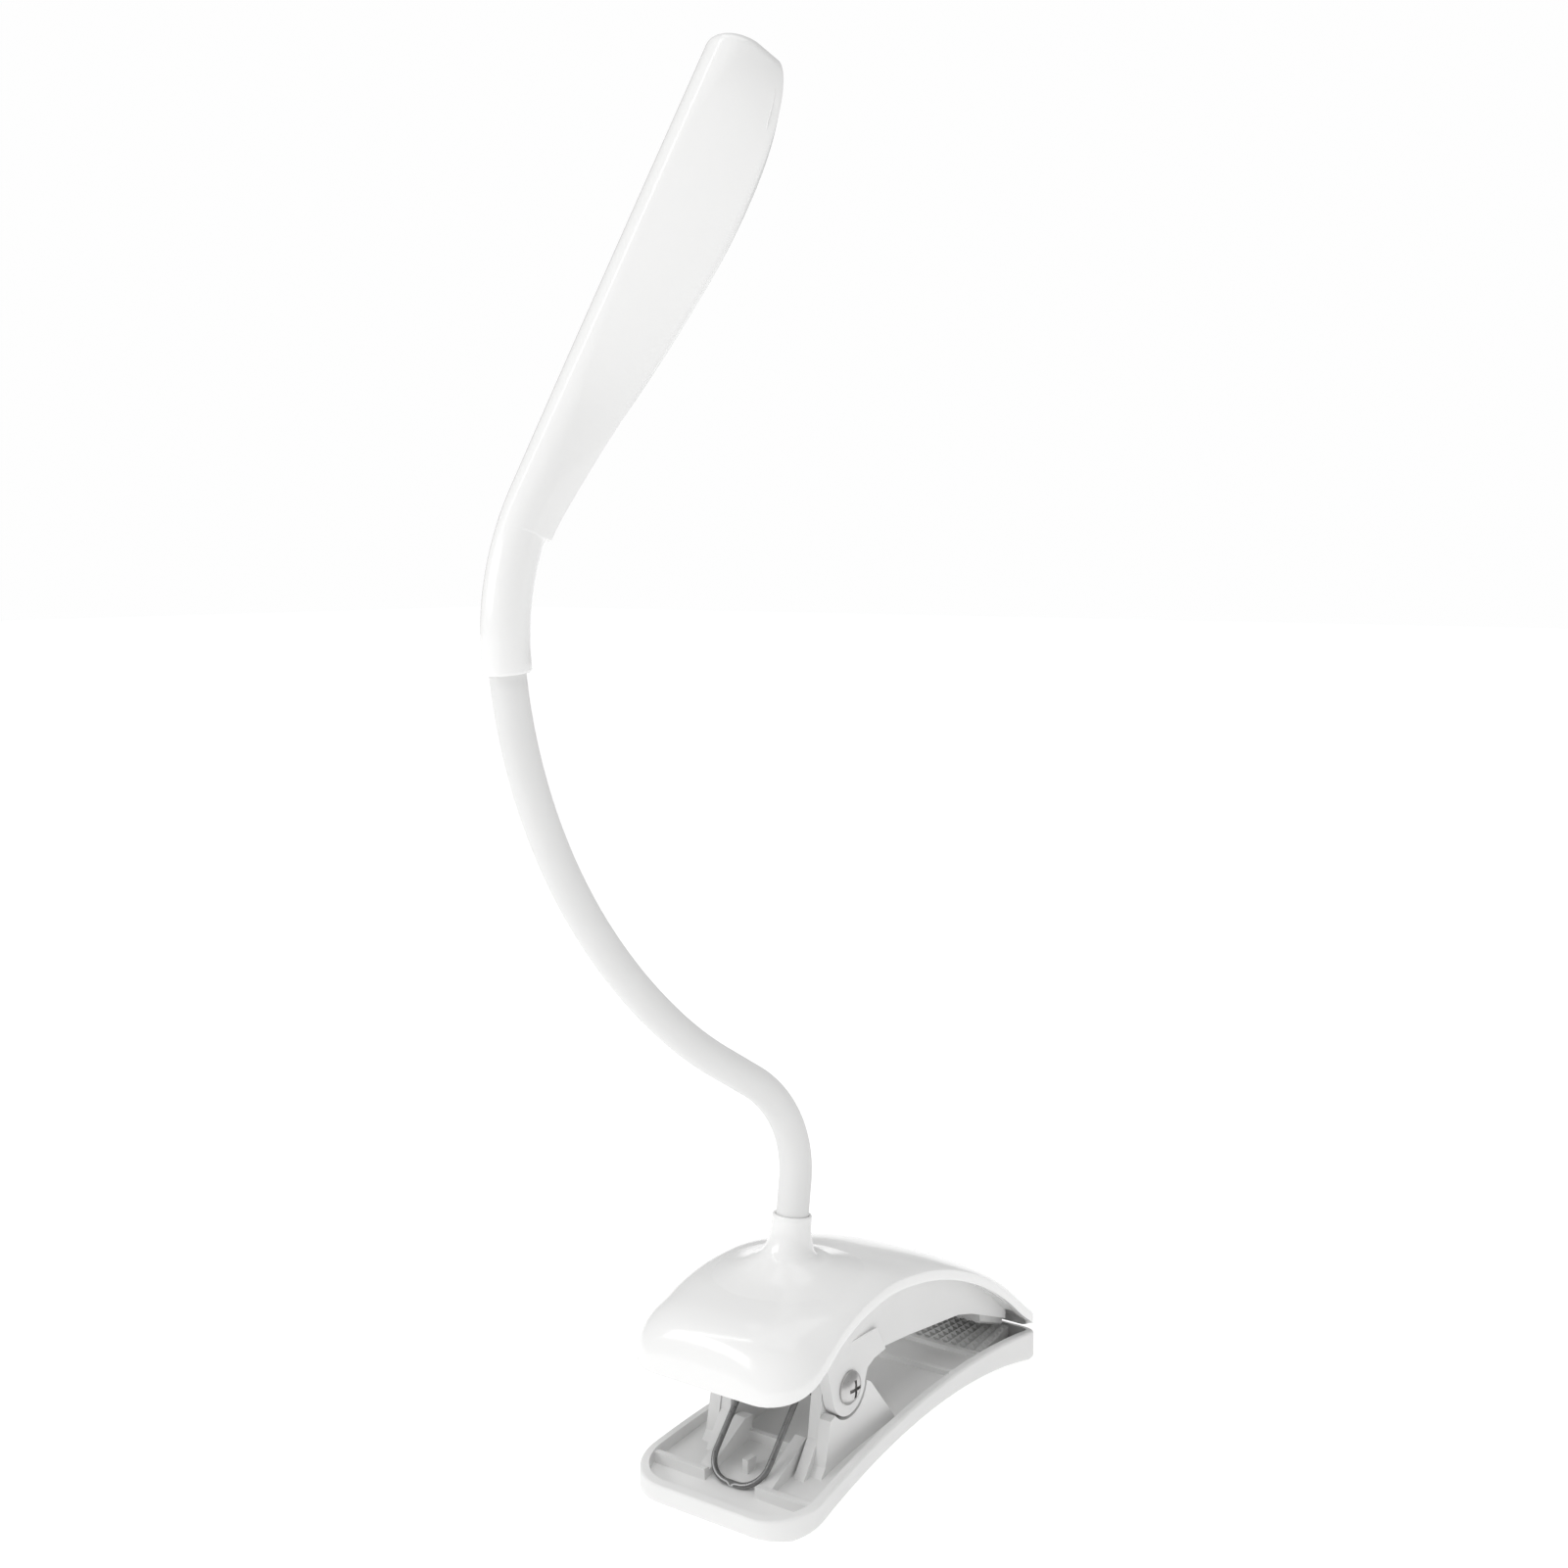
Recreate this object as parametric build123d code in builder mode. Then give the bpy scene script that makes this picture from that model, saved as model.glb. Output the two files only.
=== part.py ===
from build123d import *
import os
from math import acos, asin, atan2, cos, degrees, hypot, radians, sin, sqrt, tan

# Clip-on reading lamp, in millimetres. X runs along the clip towards the jaw tips,
# Y across it, Z up. The origin is on the plane the clip stands on, below its hinge.

os.makedirs("parts", exist_ok=True)


# ---------------------------------------------------------------- driving dimensions
# clip outline, shared by both jaws
REAR_X, TIP_X = -34.0, 97.0
REAR_HALF, TIP_HALF = 26.5, 16.5
REAR_CORNER, TIP_CORNER = 12.0, 5.0

# lower jaw tray
ARCH_MID_X, ARCH_RISE, ARCH_HALF = 31.0, 8.0, 60.0
TRAY_FLOOR, TRAY_WALL, TRAY_ROUND = 2.2, 2.2, 0.7
RIM_REAR, RIM_MID, RIM_TIP = 4.6, 12.9, 6.8
RIB_T = 1.6

# clip hinge
PIVOT_Z = 25.0
POST_IN, POST_OUT, POST_R = 11.7, 14.7, 6.8
EAR_IN, EAR_OUT, EAR_R = 15.0, 17.95, 6.9
SEAT_R = 7.7
SCREW_R, SCREW_CLEAR = 1.6, 0.05
SCREW_SEAT, SCREW_HEAD_R, SCREW_HEAD_H = 18.0, 4.1, 1.9
AXLE_TUBE_R = 3.05

# clip spring
WIRE_R, COIL_R, COIL_Y, COIL_PITCH = 0.75, 3.9, 7.9, 1.58
BAIL_X, BAIL_CORNER = -22.8, 6.5
ARM_X, ARM_Z = -17.0, 37.6

# upper jaw: cover skin, and the matte housing below it
COVER_T = 2.0
LIP = [(-34, 32), (-29, 33.6), (-24.5, 35.6), (-20, 37.8), (-13.5, 41.3), (-9, 43), (-4.4, 44.3), (0.3, 45.1),
       (5, 45.6), (10, 45.8), (15, 45.5), (20, 44.8), (30, 42.9), (41, 39.7), (52, 35.4), (64, 29.6), (76, 22.2),
       (86, 14.8), (92, 10.9), (97, 8.0)]
CROWN = [(-34, 37), (-31, 43.8), (-26, 47.2), (-15, 49.7), (0, 50.7), (12, 50.8), (30, 48), (52, 40.7), (70, 32.2),
         (85, 23), (93, 16), (97, 10.6)]
SHELL_INSET = COVER_T + 0.15
FLANGE_LOW, FLANGE_TOP = 0.4, 2.0
WALL_INSET, WALL_T = 5.9, 2.0
WALL_REAR_X, WALL_TIP_X, FLANGE_TIP_X = -9.5, 89.0, 85.5
BELLY = [(89, 11.4), (66, 20.7), (58, 23.2), (31, 27.4), (16, 29.3), (11, 28.6), (8, 27.2)]
BELLY_T = 1.8
HINGE_ROOF_Z, HINGE_ROOF_X = 33.0, 8.0
GRIP_SCREWS, MID_SCREW_X = [(-22.0, 12.0), (-22.0, -12.0)], 47.6
HOUSING_SCREW_R, HOUSING_HEAD_R, HOUSING_HEAD_H = 1.25, 2.3, 1.5

# gripping pads
LOWER_PAD_TOP = 8.6
LOWER_PAD = [(70.5, 13.0), (92.0, 9.4)]
UPPER_PAD, UPPER_PAD_T = [(71.0, 12.4), (88.0, 9.6)], 2.6

# power
CELL = (30.0, 25.0, 6.0)
CELL_X, CELL_LIFT = 28.0, 0.1
BOARD = (18.0, 17.0, 1.2)
BOARD_X, BOARD_Y, BOARD_Z = 61.0, 1.2, 26.8
SOCKET, SOCKET_Y = (8.9, 7.2, 3.2), 13.0

# trumpet collar on the cover, and the gooseneck
COLLAR_X, COLLAR_Z = 1.5, 64.0
COLLAR_R, COLLAR_DEPTH = 4.9, 3.0
SLEEVE_R, HOSE_R, HOSE_BORE = 4.0, 3.0, 1.5
WIRE_PAIR_R, WIRE_PAIR_GAP, WIRE_TRIM = 0.5, 0.6, 0.4
NECK_TURN = 17.0
NECK_LEAN = -6.0
NECK_RUNS = [(8.0, None, -6.0), (None, 28.7, 57.0), (11.0, None, 57.0), (None, 95.0, 48.0), (None, 131.0, 5.0),
             (None, 64.0, -27.5)]
NECK_JOINTS = [9.0, 45.5, 82.0, 118.5, 155.0]
GAP_ANGLE = 11.6

# head
HEAD_COLLAR_R, HEAD_COLLAR_START = 5.3, 162.0
HEAD_LENGTH, HEAD_T = 117.0, 1.6
FRONT_X, SPINE_X, HEAD_SLOPE = 5.65, -5.3, 0.035
HEAD_SECTIONS = [(-10, 3.8), (3, 5.9), (15, 8.6), (38, 15.0), (60, 19.3), (78, 20.0), (117, 20.0)]
HEAD_FOOT, COLLAR_LAP, HEAD_ROUND_Z = 10.0, 2.0, 70.0
NOSE_R, NOSE_GROWTH, NOSE_MAX = 5.3, 0.05, 7.5
PANEL_T = 1.6
LEDGE, INSERT_GAP = 0.6, 0.2
WINDOW_START, WINDOW_FOOT, WINDOW_MARGIN = 14.0, 2.4, 7.0
WINDOW_LAP, LAP_T = 0.6, 0.7
TOUCH_U, TOUCH_R, TOUCH_T = 2.0, 2.4, 0.6
LED_BOARD = [(12.0, 2.6), (40.0, 5.2), (78.0, 7.5), (96.0, 5.5)]
LED_BOARD_T, BOARD_DEPTH = 1.2, 4.2
LED_ROWS, LED_PITCH, LED_START, LED_SPREAD, LED_SIZE = 6, 11.0, 33.0, 2.9, (2.8, 2.8, 0.9)
BOARD_SCREWS, BOARD_SCREW_R = [21.0, 93.5], 0.8


# ---------------------------------------------------------------- geometry helpers
def half_width(x):
    """Half the clip's width at x: it tapers evenly from the grip end to the tip."""
    return REAR_HALF + (TIP_HALF - REAR_HALF) * (x - REAR_X) / (TIP_X - REAR_X)


def outline(inset, x0=REAR_X, x1=TIP_X, rear_corner=REAR_CORNER, tip_corner=TIP_CORNER):
    """Draw the clip's plan outline, moved in by inset, in the current sketch."""
    a, b = x0 + inset, x1 - inset
    ya, yb = half_width(a) - inset, half_width(b) - inset
    corners = [(a, -ya), (b, -yb), (b, yb), (a, ya)]
    radii = [max(rear_corner - inset, 1.5), max(tip_corner - inset, 1.2)]
    with BuildLine() as line:
        FilletPolyline(*corners, radius=[radii[0], radii[1], radii[1], radii[0]], close=True)
    make_face(line.edges())


ARCH_R = (ARCH_HALF ** 2 + ARCH_RISE ** 2) / (2 * ARCH_RISE)


def arch_z(x, lift=0.0):
    """Height of the tray's arched underside at x, or of the floor lift above it."""
    r = ARCH_R + lift
    return max(lift, ARCH_RISE - ARCH_R + sqrt(r * r - (x - ARCH_MID_X) ** 2))


def floor_z(x):
    return max(TRAY_FLOOR + 0.2, arch_z(x, TRAY_FLOOR))


def raised(points, dx, dz):
    return [(x + dx, z + dz) for x, z in points]


def sunk(points, depth):
    """Points of an upward-facing curve moved in along its normal."""
    out = []
    for i, (x, z) in enumerate(points):
        xa, za = points[max(i - 1, 0)]
        xb, zb = points[min(i + 1, len(points) - 1)]
        run = hypot(xb - xa, zb - za)
        out.append((x + depth * (zb - za) / run, z - depth * (xb - xa) / run))
    return out


def neck_plan():
    """The neck's runs as (start length, length, start angle, end angle, start h, start z)."""
    runs, s, h, z, angle = [], 0.0, 0.0, COLLAR_Z, NECK_LEAN
    for length, radius, end in NECK_RUNS:
        turn = radians(end - angle)
        if radius is None:
            a = radians(angle)
            runs.append((s, length, angle, angle, h, z))
            h, z = h + length * sin(a), z + length * cos(a)
        else:
            length = radius * abs(turn)
            side = 1 if turn > 0 else -1
            a, b = radians(angle), radians(end)
            runs.append((s, length, angle, end, h, z))
            h, z = h + side * radius * (cos(a) - cos(b)), z + side * radius * (sin(b) - sin(a))
        s, angle = s + length, end
    return runs


NECK = neck_plan()
NECK_END = NECK[-1][0] + NECK[-1][1]
AWAY = Vector(-cos(radians(NECK_TURN)), sin(radians(NECK_TURN)), 0)
ACROSS = Vector(sin(radians(NECK_TURN)), cos(radians(NECK_TURN)), 0)


def neck_at(s):
    """Point on the neck's centreline at length s from the collar's mouth, and its direction."""
    for s0, length, a0, a1, h, z in NECK:
        if s <= s0 + length or s0 == NECK[-1][0]:
            break
    t = s - s0
    if a0 == a1:
        a = radians(a0)
        h, z = h + t * sin(a), z + t * cos(a)
    else:
        radius = length / radians(a1 - a0)
        b, a = radians(a0), radians(a0) + t / radius
        h, z = h + radius * (cos(b) - cos(a)), z + radius * (sin(a) - sin(b))
    return Vector(COLLAR_X, 0, 0) + AWAY * h + Vector(0, 0, z), AWAY * sin(a) + Vector(0, 0, cos(a))


def neck_plane(s):
    """A plane square to the neck at s, with its x along the bend's plane."""
    point, along = neck_at(s)
    return Plane(origin=point, x_dir=ACROSS.cross(along), z_dir=along)


def neck_stops(s0, s1):
    """The stretches of centreline between s0 and s1: (start, end, whether it is straight)."""
    stops = [s0] + [run[0] for run in NECK[1:] if s0 + 0.01 < run[0] < s1 - 0.01] + [s1]
    out = []
    for a, b in zip(stops, stops[1:]):
        mid = max((a + b) / 2, 0)
        out.append((a, b, any(r[0] <= mid <= r[0] + r[1] and r[2] == r[3] for r in NECK)))
    return out


def save(part, name):
    part.label = name
    export_step(part, f"parts/{name}.step")


def xz_block(y0, y1):
    """Plane for a side profile that is pulled from y1 back to y0."""
    return Plane.XZ.offset(-y1), y1 - y0


# ---------------------------------------------------------------- lower jaw
with BuildPart() as tray_pocket:
    with BuildSketch(Plane.XZ):
        with BuildLine():
            half = sqrt((ARCH_R + TRAY_FLOOR) ** 2 - (TRAY_FLOOR + 0.2 - ARCH_RISE + ARCH_R) ** 2)
            low = TRAY_FLOOR + 0.2
            rear, tip = ARCH_MID_X - half, ARCH_MID_X + half
            Line((REAR_X, low), (rear, low))
            ThreePointArc((rear, low), (ARCH_MID_X, ARCH_RISE + TRAY_FLOOR), (tip, low))
            Polyline((tip, low), (TIP_X, low), (TIP_X, 40), (REAR_X, 40), (REAR_X, low))
        make_face()
    extrude(amount=40, both=True)
    with BuildSketch(Plane.XY):
        outline(TRAY_WALL)
    extrude(amount=60, mode=Mode.INTERSECT)

with BuildPart() as tray_outer:
    with BuildSketch(Plane.XZ):
        with BuildLine():
            rear, tip = ARCH_MID_X - ARCH_HALF, ARCH_MID_X + ARCH_HALF
            Line((REAR_X, 0), (rear, 0))
            ThreePointArc((rear, 0), (ARCH_MID_X, ARCH_RISE), (tip, 0))
            Line((tip, 0), (TIP_X, 0))
            Line((TIP_X, 0), (TIP_X, RIM_TIP))
            ThreePointArc((TIP_X, RIM_TIP), (ARCH_MID_X, RIM_MID), (REAR_X, RIM_REAR))
            Line((REAR_X, RIM_REAR), (REAR_X, 0))
        make_face()
    extrude(amount=40, both=True)
    with BuildSketch(Plane.XY):
        outline(0)
    extrude(amount=60, mode=Mode.INTERSECT)
    level = tray_outer.faces().filter_by(lambda f: abs(f.normal_at().Z) > 0.5)
    fillet(level.edges().filter_by(lambda e: abs(e.tangent_at(0.5).Y) < 0.99 or e.length > 2.5), TRAY_ROUND)

with BuildPart() as lower_jaw:
    add(tray_outer.part)
    add(tray_pocket.part, mode=Mode.SUBTRACT)
    # hinge post, its outer fairing with the round seat for the ear, and the buttress inside it
    plane, depth = xz_block(POST_IN, POST_OUT)
    with BuildSketch(plane):
        with Locations((0, PIVOT_Z)):
            Circle(POST_R)
        with BuildLine():
            Polyline((-15, floor_z(-15) - 1), (-POST_R - 1.6, 14), (-POST_R, PIVOT_Z), (POST_R, PIVOT_Z),
                     (17, floor_z(17) - 1), (-15, floor_z(-15) - 1))
        make_face()
    extrude(amount=depth)
    plane, depth = xz_block(POST_OUT, SCREW_SEAT)
    with BuildSketch(plane):
        with BuildLine():
            Polyline((-12.5, floor_z(-12) - 1), (-10.0, 8.5), (-7.8, 19.2), (6.6, 24.6), (9.2, 23.3), (19.6, 11.0),
                     (21, floor_z(21) - 1), (-12.5, floor_z(-12) - 1))
        make_face()
        with Locations((0, PIVOT_Z)):
            Circle(SEAT_R, mode=Mode.SUBTRACT)
    extrude(amount=depth)
    plane, depth = xz_block(POST_IN - 4.2, POST_IN - 0.9)
    with BuildSketch(plane):
        with BuildLine():
            Polyline((-23.0, floor_z(-23) - 1), (-23.0, floor_z(-23) + 1.2), (-7.6, 13.2), (-5.0, 13.2),
                     (-5.0, floor_z(-5) - 1), (-23.0, floor_z(-23) - 1))
        make_face()
    extrude(amount=depth)
    # cross ribs beside the spring and, for the spring's loop, a short stop
    for x, y0, y1, tall in [(-23.0, 7.5, 24.0, 2.6), (-5.6, -1, POST_IN + 1, 2.4)]:
        plane, depth = xz_block(y0, min(y1, half_width(x) - 1.0))
        with BuildSketch(plane):
            with Locations((x, floor_z(x) + (tall - 1) / 2)):
                Rectangle(RIB_T, tall + 1)
        extrude(amount=depth)
    mirror(about=Plane.XZ)
    for x, tall in [(50.5, 1.5), (70.5 - RIB_T / 2, 1.4)]:
        width = 2 * (half_width(x) - 1.0)
        with BuildSketch(Plane.XY.offset(floor_z(x) - 1.0)):
            with Locations((x, 0)):
                Rectangle(RIB_T, width)
        extrude(amount=tall + 1)
    with BuildSketch(Plane.XY.offset(floor_z(-16) - 1.0)):
        with Locations((-16.0, 0)):
            Rectangle(3.4, 1.6)
    extrude(amount=4.2)
    # pilot holes that the hinge screws cut their thread in
    with BuildSketch(Plane.XZ.offset(-EAR_OUT)):
        with Locations((0, PIVOT_Z)):
            Circle(SCREW_R)
    extrude(amount=2 * EAR_OUT, mode=Mode.SUBTRACT)
save(lower_jaw.part, "lower_jaw")

with BuildPart() as lower_pad:
    with BuildSketch(Plane.XZ):
        with BuildLine():
            (xa, _), (xb, _) = LOWER_PAD
            half = sqrt((ARCH_R + TRAY_FLOOR) ** 2 - (TRAY_FLOOR + 0.2 - ARCH_RISE + ARCH_R) ** 2)
            low_x = ARCH_MID_X + half
            mid_x = (xa + low_x) / 2
            ThreePointArc((xa, arch_z(xa, TRAY_FLOOR)), (mid_x, arch_z(mid_x, TRAY_FLOOR)), (low_x, floor_z(low_x)))
            Polyline((low_x, floor_z(low_x)), (xb, floor_z(xb)), (xb, LOWER_PAD_TOP), (xa, LOWER_PAD_TOP),
                     (xa, arch_z(xa, TRAY_FLOOR)))
        make_face()
    extrude(amount=30, both=True)
    with BuildSketch(Plane.XY):
        (xa, ya), (xb, yb) = LOWER_PAD
        Polygon((xa, -ya), (xb, -yb), (xb, yb), (xa, ya), align=None)
    extrude(amount=30, mode=Mode.INTERSECT)
save(lower_pad.part, "lower_pad")


# ---------------------------------------------------------------- hinge: screws, axle tube, spring
with BuildPart() as hinge_screws:
    with BuildSketch(Plane.XZ.offset(-SCREW_SEAT)):
        with Locations((0, PIVOT_Z)):
            Circle(SCREW_R)
    extrude(amount=SCREW_SEAT - 4.0)
    with BuildSketch(Plane.YZ):
        with BuildLine():
            y0, y1 = SCREW_SEAT, SCREW_SEAT + SCREW_HEAD_H
            top = PIVOT_Z + SCREW_HEAD_R
            Polyline((y1, PIVOT_Z), (y0, PIVOT_Z), (y0, top), (y0 + 0.5, top))
            ThreePointArc((y0 + 0.5, top), (y0 + 1.45, PIVOT_Z + 0.72 * SCREW_HEAD_R), (y1, PIVOT_Z))
        make_face()
    revolve(axis=Axis((0, 0, PIVOT_Z), (0, 1, 0)))
    with Locations((0, SCREW_SEAT + SCREW_HEAD_H, PIVOT_Z)):
        Box(4.4, 2.2, 0.9, mode=Mode.SUBTRACT)
        Box(0.9, 2.2, 4.4, mode=Mode.SUBTRACT)
    mirror(about=Plane.XZ)
save(hinge_screws.part, "hinge_screws")

with BuildPart() as axle_tube:
    with BuildSketch(Plane.XZ.offset(-POST_IN)):
        with Locations((0, PIVOT_Z)):
            Circle(AXLE_TUBE_R)
            Circle(SCREW_R, mode=Mode.SUBTRACT)
    extrude(amount=2 * POST_IN)
save(axle_tube.part, "axle_tube")

# The loop's legs and the arms leave the coils as tangents, so their angles follow from their far ends.
bail_z = floor_z(BAIL_X) + WIRE_R + 0.1
bail_run = hypot(BAIL_X, bail_z - PIVOT_Z)
leg_angle = atan2(PIVOT_Z - bail_z, -BAIL_X) + asin(COIL_R / bail_run)
leg_start = Vector(-COIL_R * sin(leg_angle), COIL_Y, PIVOT_Z + COIL_R * cos(leg_angle))
arm_run = hypot(ARM_X, ARM_Z - PIVOT_Z)
arm_angle = atan2(ARM_Z - PIVOT_Z, ARM_X) - asin(COIL_R / arm_run)
coil_turns = 1 + (leg_angle - arm_angle + radians(360)) % radians(360) / radians(360)
coil_length = coil_turns * COIL_PITCH
arm_start = Vector(-COIL_R * sin(arm_angle), COIL_Y + coil_length, PIVOT_Z + COIL_R * cos(arm_angle))

radial = Vector(leg_start.X, 0, leg_start.Z - PIVOT_Z)
coil = Plane(origin=(0, COIL_Y, PIVOT_Z), x_dir=radial, z_dir=(0, 1, 0)) * Helix(COIL_PITCH, coil_length, COIL_R)

arm_end = Vector(ARM_X, arm_start.Y, ARM_Z)
bail_corner = Vector(BAIL_X, COIL_Y, bail_z)
to_coil = (leg_start - bail_corner).normalized()
corner_centre = Vector(BAIL_X, COIL_Y - BAIL_CORNER, bail_z) + to_coil * BAIL_CORNER
corner_mid = corner_centre + (Vector(0, 1, 0) - to_coil) * (BAIL_CORNER / sqrt(2))

with BuildPart() as clip_spring:
    with BuildLine() as line:
        Line((BAIL_X, 0, bail_z), (BAIL_X, COIL_Y - BAIL_CORNER, bail_z))
        ThreePointArc((BAIL_X, COIL_Y - BAIL_CORNER, bail_z), corner_mid, bail_corner + to_coil * BAIL_CORNER)
        Line(bail_corner + to_coil * BAIL_CORNER, leg_start)
        add(coil)
        Line(arm_start, arm_end)
    with BuildSketch(Plane.XZ):
        with Locations((BAIL_X, bail_z)):
            Circle(WIRE_R)
    sweep(path=line.line.wires()[0])
    mirror(about=Plane.XZ)
save(clip_spring.part, "clip_spring")


# ---------------------------------------------------------------- upper jaw: cover
COLLAR = neck_plane(0)

with BuildPart() as cover_core:
    with BuildSketch(Plane.XZ):
        with BuildLine():
            under = sunk(CROWN, COVER_T)
            Spline(*under)
            (xa, za), (xb, zb) = under[0], under[-1]
            Polyline((xb, zb), (xb, -20), (xa, -20), (xa, za))
        make_face()
    extrude(amount=40, both=True)
    with BuildSketch(Plane.XY.offset(-10)):
        outline(COVER_T)
    extrude(amount=80, mode=Mode.INTERSECT)

with BuildPart() as top_cover:
    with BuildSketch(Plane.XZ):
        with BuildLine():
            Spline(*LIP)
            Line(LIP[-1], CROWN[-1])
            Spline(*CROWN)
            Line(CROWN[0], LIP[0])
        make_face()
    extrude(amount=40, both=True)
    with BuildSketch(Plane.XY):
        outline(0)
    extrude(amount=80, mode=Mode.INTERSECT)
    add(cover_core.part, mode=Mode.SUBTRACT)
    # trumpet collar, flaring into the cover
    with BuildSketch(Plane(origin=COLLAR.origin, x_dir=COLLAR.x_dir, z_dir=-COLLAR.y_dir)):
        with BuildLine():
            Polyline((HOSE_R + 0.05, -17.0), (HOSE_R + 0.05, -COLLAR_DEPTH), (SLEEVE_R + 0.05, -COLLAR_DEPTH),
                     (SLEEVE_R + 0.05, 0), (COLLAR_R - 0.2, 0), (COLLAR_R, -0.3))
            Spline((COLLAR_R, -0.3), (COLLAR_R + 0.2, -4.2), (5.9, -7.8), (7.6, -10.6), (10.6, -13.0), (15.5, -15.2))
            Polyline((15.5, -15.2), (12.0, -17.0), (HOSE_R + 0.05, -17.0))
        make_face()
    revolve(axis=Axis(COLLAR.origin, COLLAR.z_dir))
    # locating pegs near the tip, and bosses for the housing screws
    for x, y, z, r, tall in [(88.0, 13.3, 11.4, 1.3, 8.0), (88.0, -13.3, 11.4, 1.3, 8.0),
                             (*GRIP_SCREWS[0], 40.4, 2.6, 6.0), (*GRIP_SCREWS[1], 40.4, 2.6, 6.0),
                             (MID_SCREW_X, 0.0, 32.1, 3.2, 9.0)]:
        with BuildSketch(Plane.XY.offset(z)):
            with Locations((x, y)):
                Circle(r)
        extrude(amount=tall)
    for x, y, z in [(*GRIP_SCREWS[0], 40.0), (*GRIP_SCREWS[1], 40.0), (MID_SCREW_X, 0.0, 32.0)]:
        with BuildSketch(Plane.XY.offset(z)):
            with Locations((x, y)):
                Circle(HOUSING_SCREW_R)
        extrude(amount=5.0, mode=Mode.SUBTRACT)
    with BuildSketch(COLLAR.offset(-30)):
        Circle(HOSE_R + 0.05)
    extrude(amount=30, mode=Mode.SUBTRACT)
save(top_cover.part, "top_cover")


# ---------------------------------------------------------------- upper jaw: housing
def belly_z(x):
    for (xb, zb), (xa, za) in zip(BELLY, BELLY[1:]):
        if x >= xa:
            return za + (zb - za) * (x - xa) / (xb - xa)
    return BELLY[-1][1]


inside_floor = [(WALL_TIP_X - WALL_T, belly_z(WALL_TIP_X - WALL_T) + BELLY_T)]
inside_floor += [(x, z + BELLY_T) for x, z in BELLY[1:5]]
inside_floor += [(HINGE_ROOF_X + WALL_T, inside_floor[-1][1]), (HINGE_ROOF_X + WALL_T, HINGE_ROOF_Z + BELLY_T),
                 (WALL_REAR_X + WALL_T, HINGE_ROOF_Z + BELLY_T)]

with BuildPart() as housing_pocket:
    with BuildSketch(Plane.XZ):
        with BuildLine():
            Polyline((WALL_REAR_X + WALL_T, 60), (WALL_TIP_X - WALL_T, 60), *inside_floor,
                     (WALL_REAR_X + WALL_T, 60))
        make_face()
    extrude(amount=40, both=True)
    with BuildSketch(Plane.XY):
        outline(WALL_INSET + WALL_T, -60, WALL_TIP_X + WALL_INSET, tip_corner=WALL_INSET + 2)
    extrude(amount=80, mode=Mode.INTERSECT)

with BuildPart() as housing_box:
    with BuildSketch(Plane.XZ):
        with BuildLine():
            top = raised(LIP, 0, FLANGE_TOP)
            Spline(*top)
            Polyline(top[-1], (top[-1][0], 0), (WALL_TIP_X, 0), *BELLY, (HINGE_ROOF_X, HINGE_ROOF_Z),
                     (WALL_REAR_X, HINGE_ROOF_Z), (WALL_REAR_X, 0), (top[0][0], 0), top[0])
        make_face()
    extrude(amount=40, both=True)
    with BuildSketch(Plane.XY):
        outline(WALL_INSET, WALL_REAR_X - WALL_INSET, WALL_TIP_X + WALL_INSET, 2, WALL_INSET + 3)
    extrude(amount=80, mode=Mode.INTERSECT)

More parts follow.
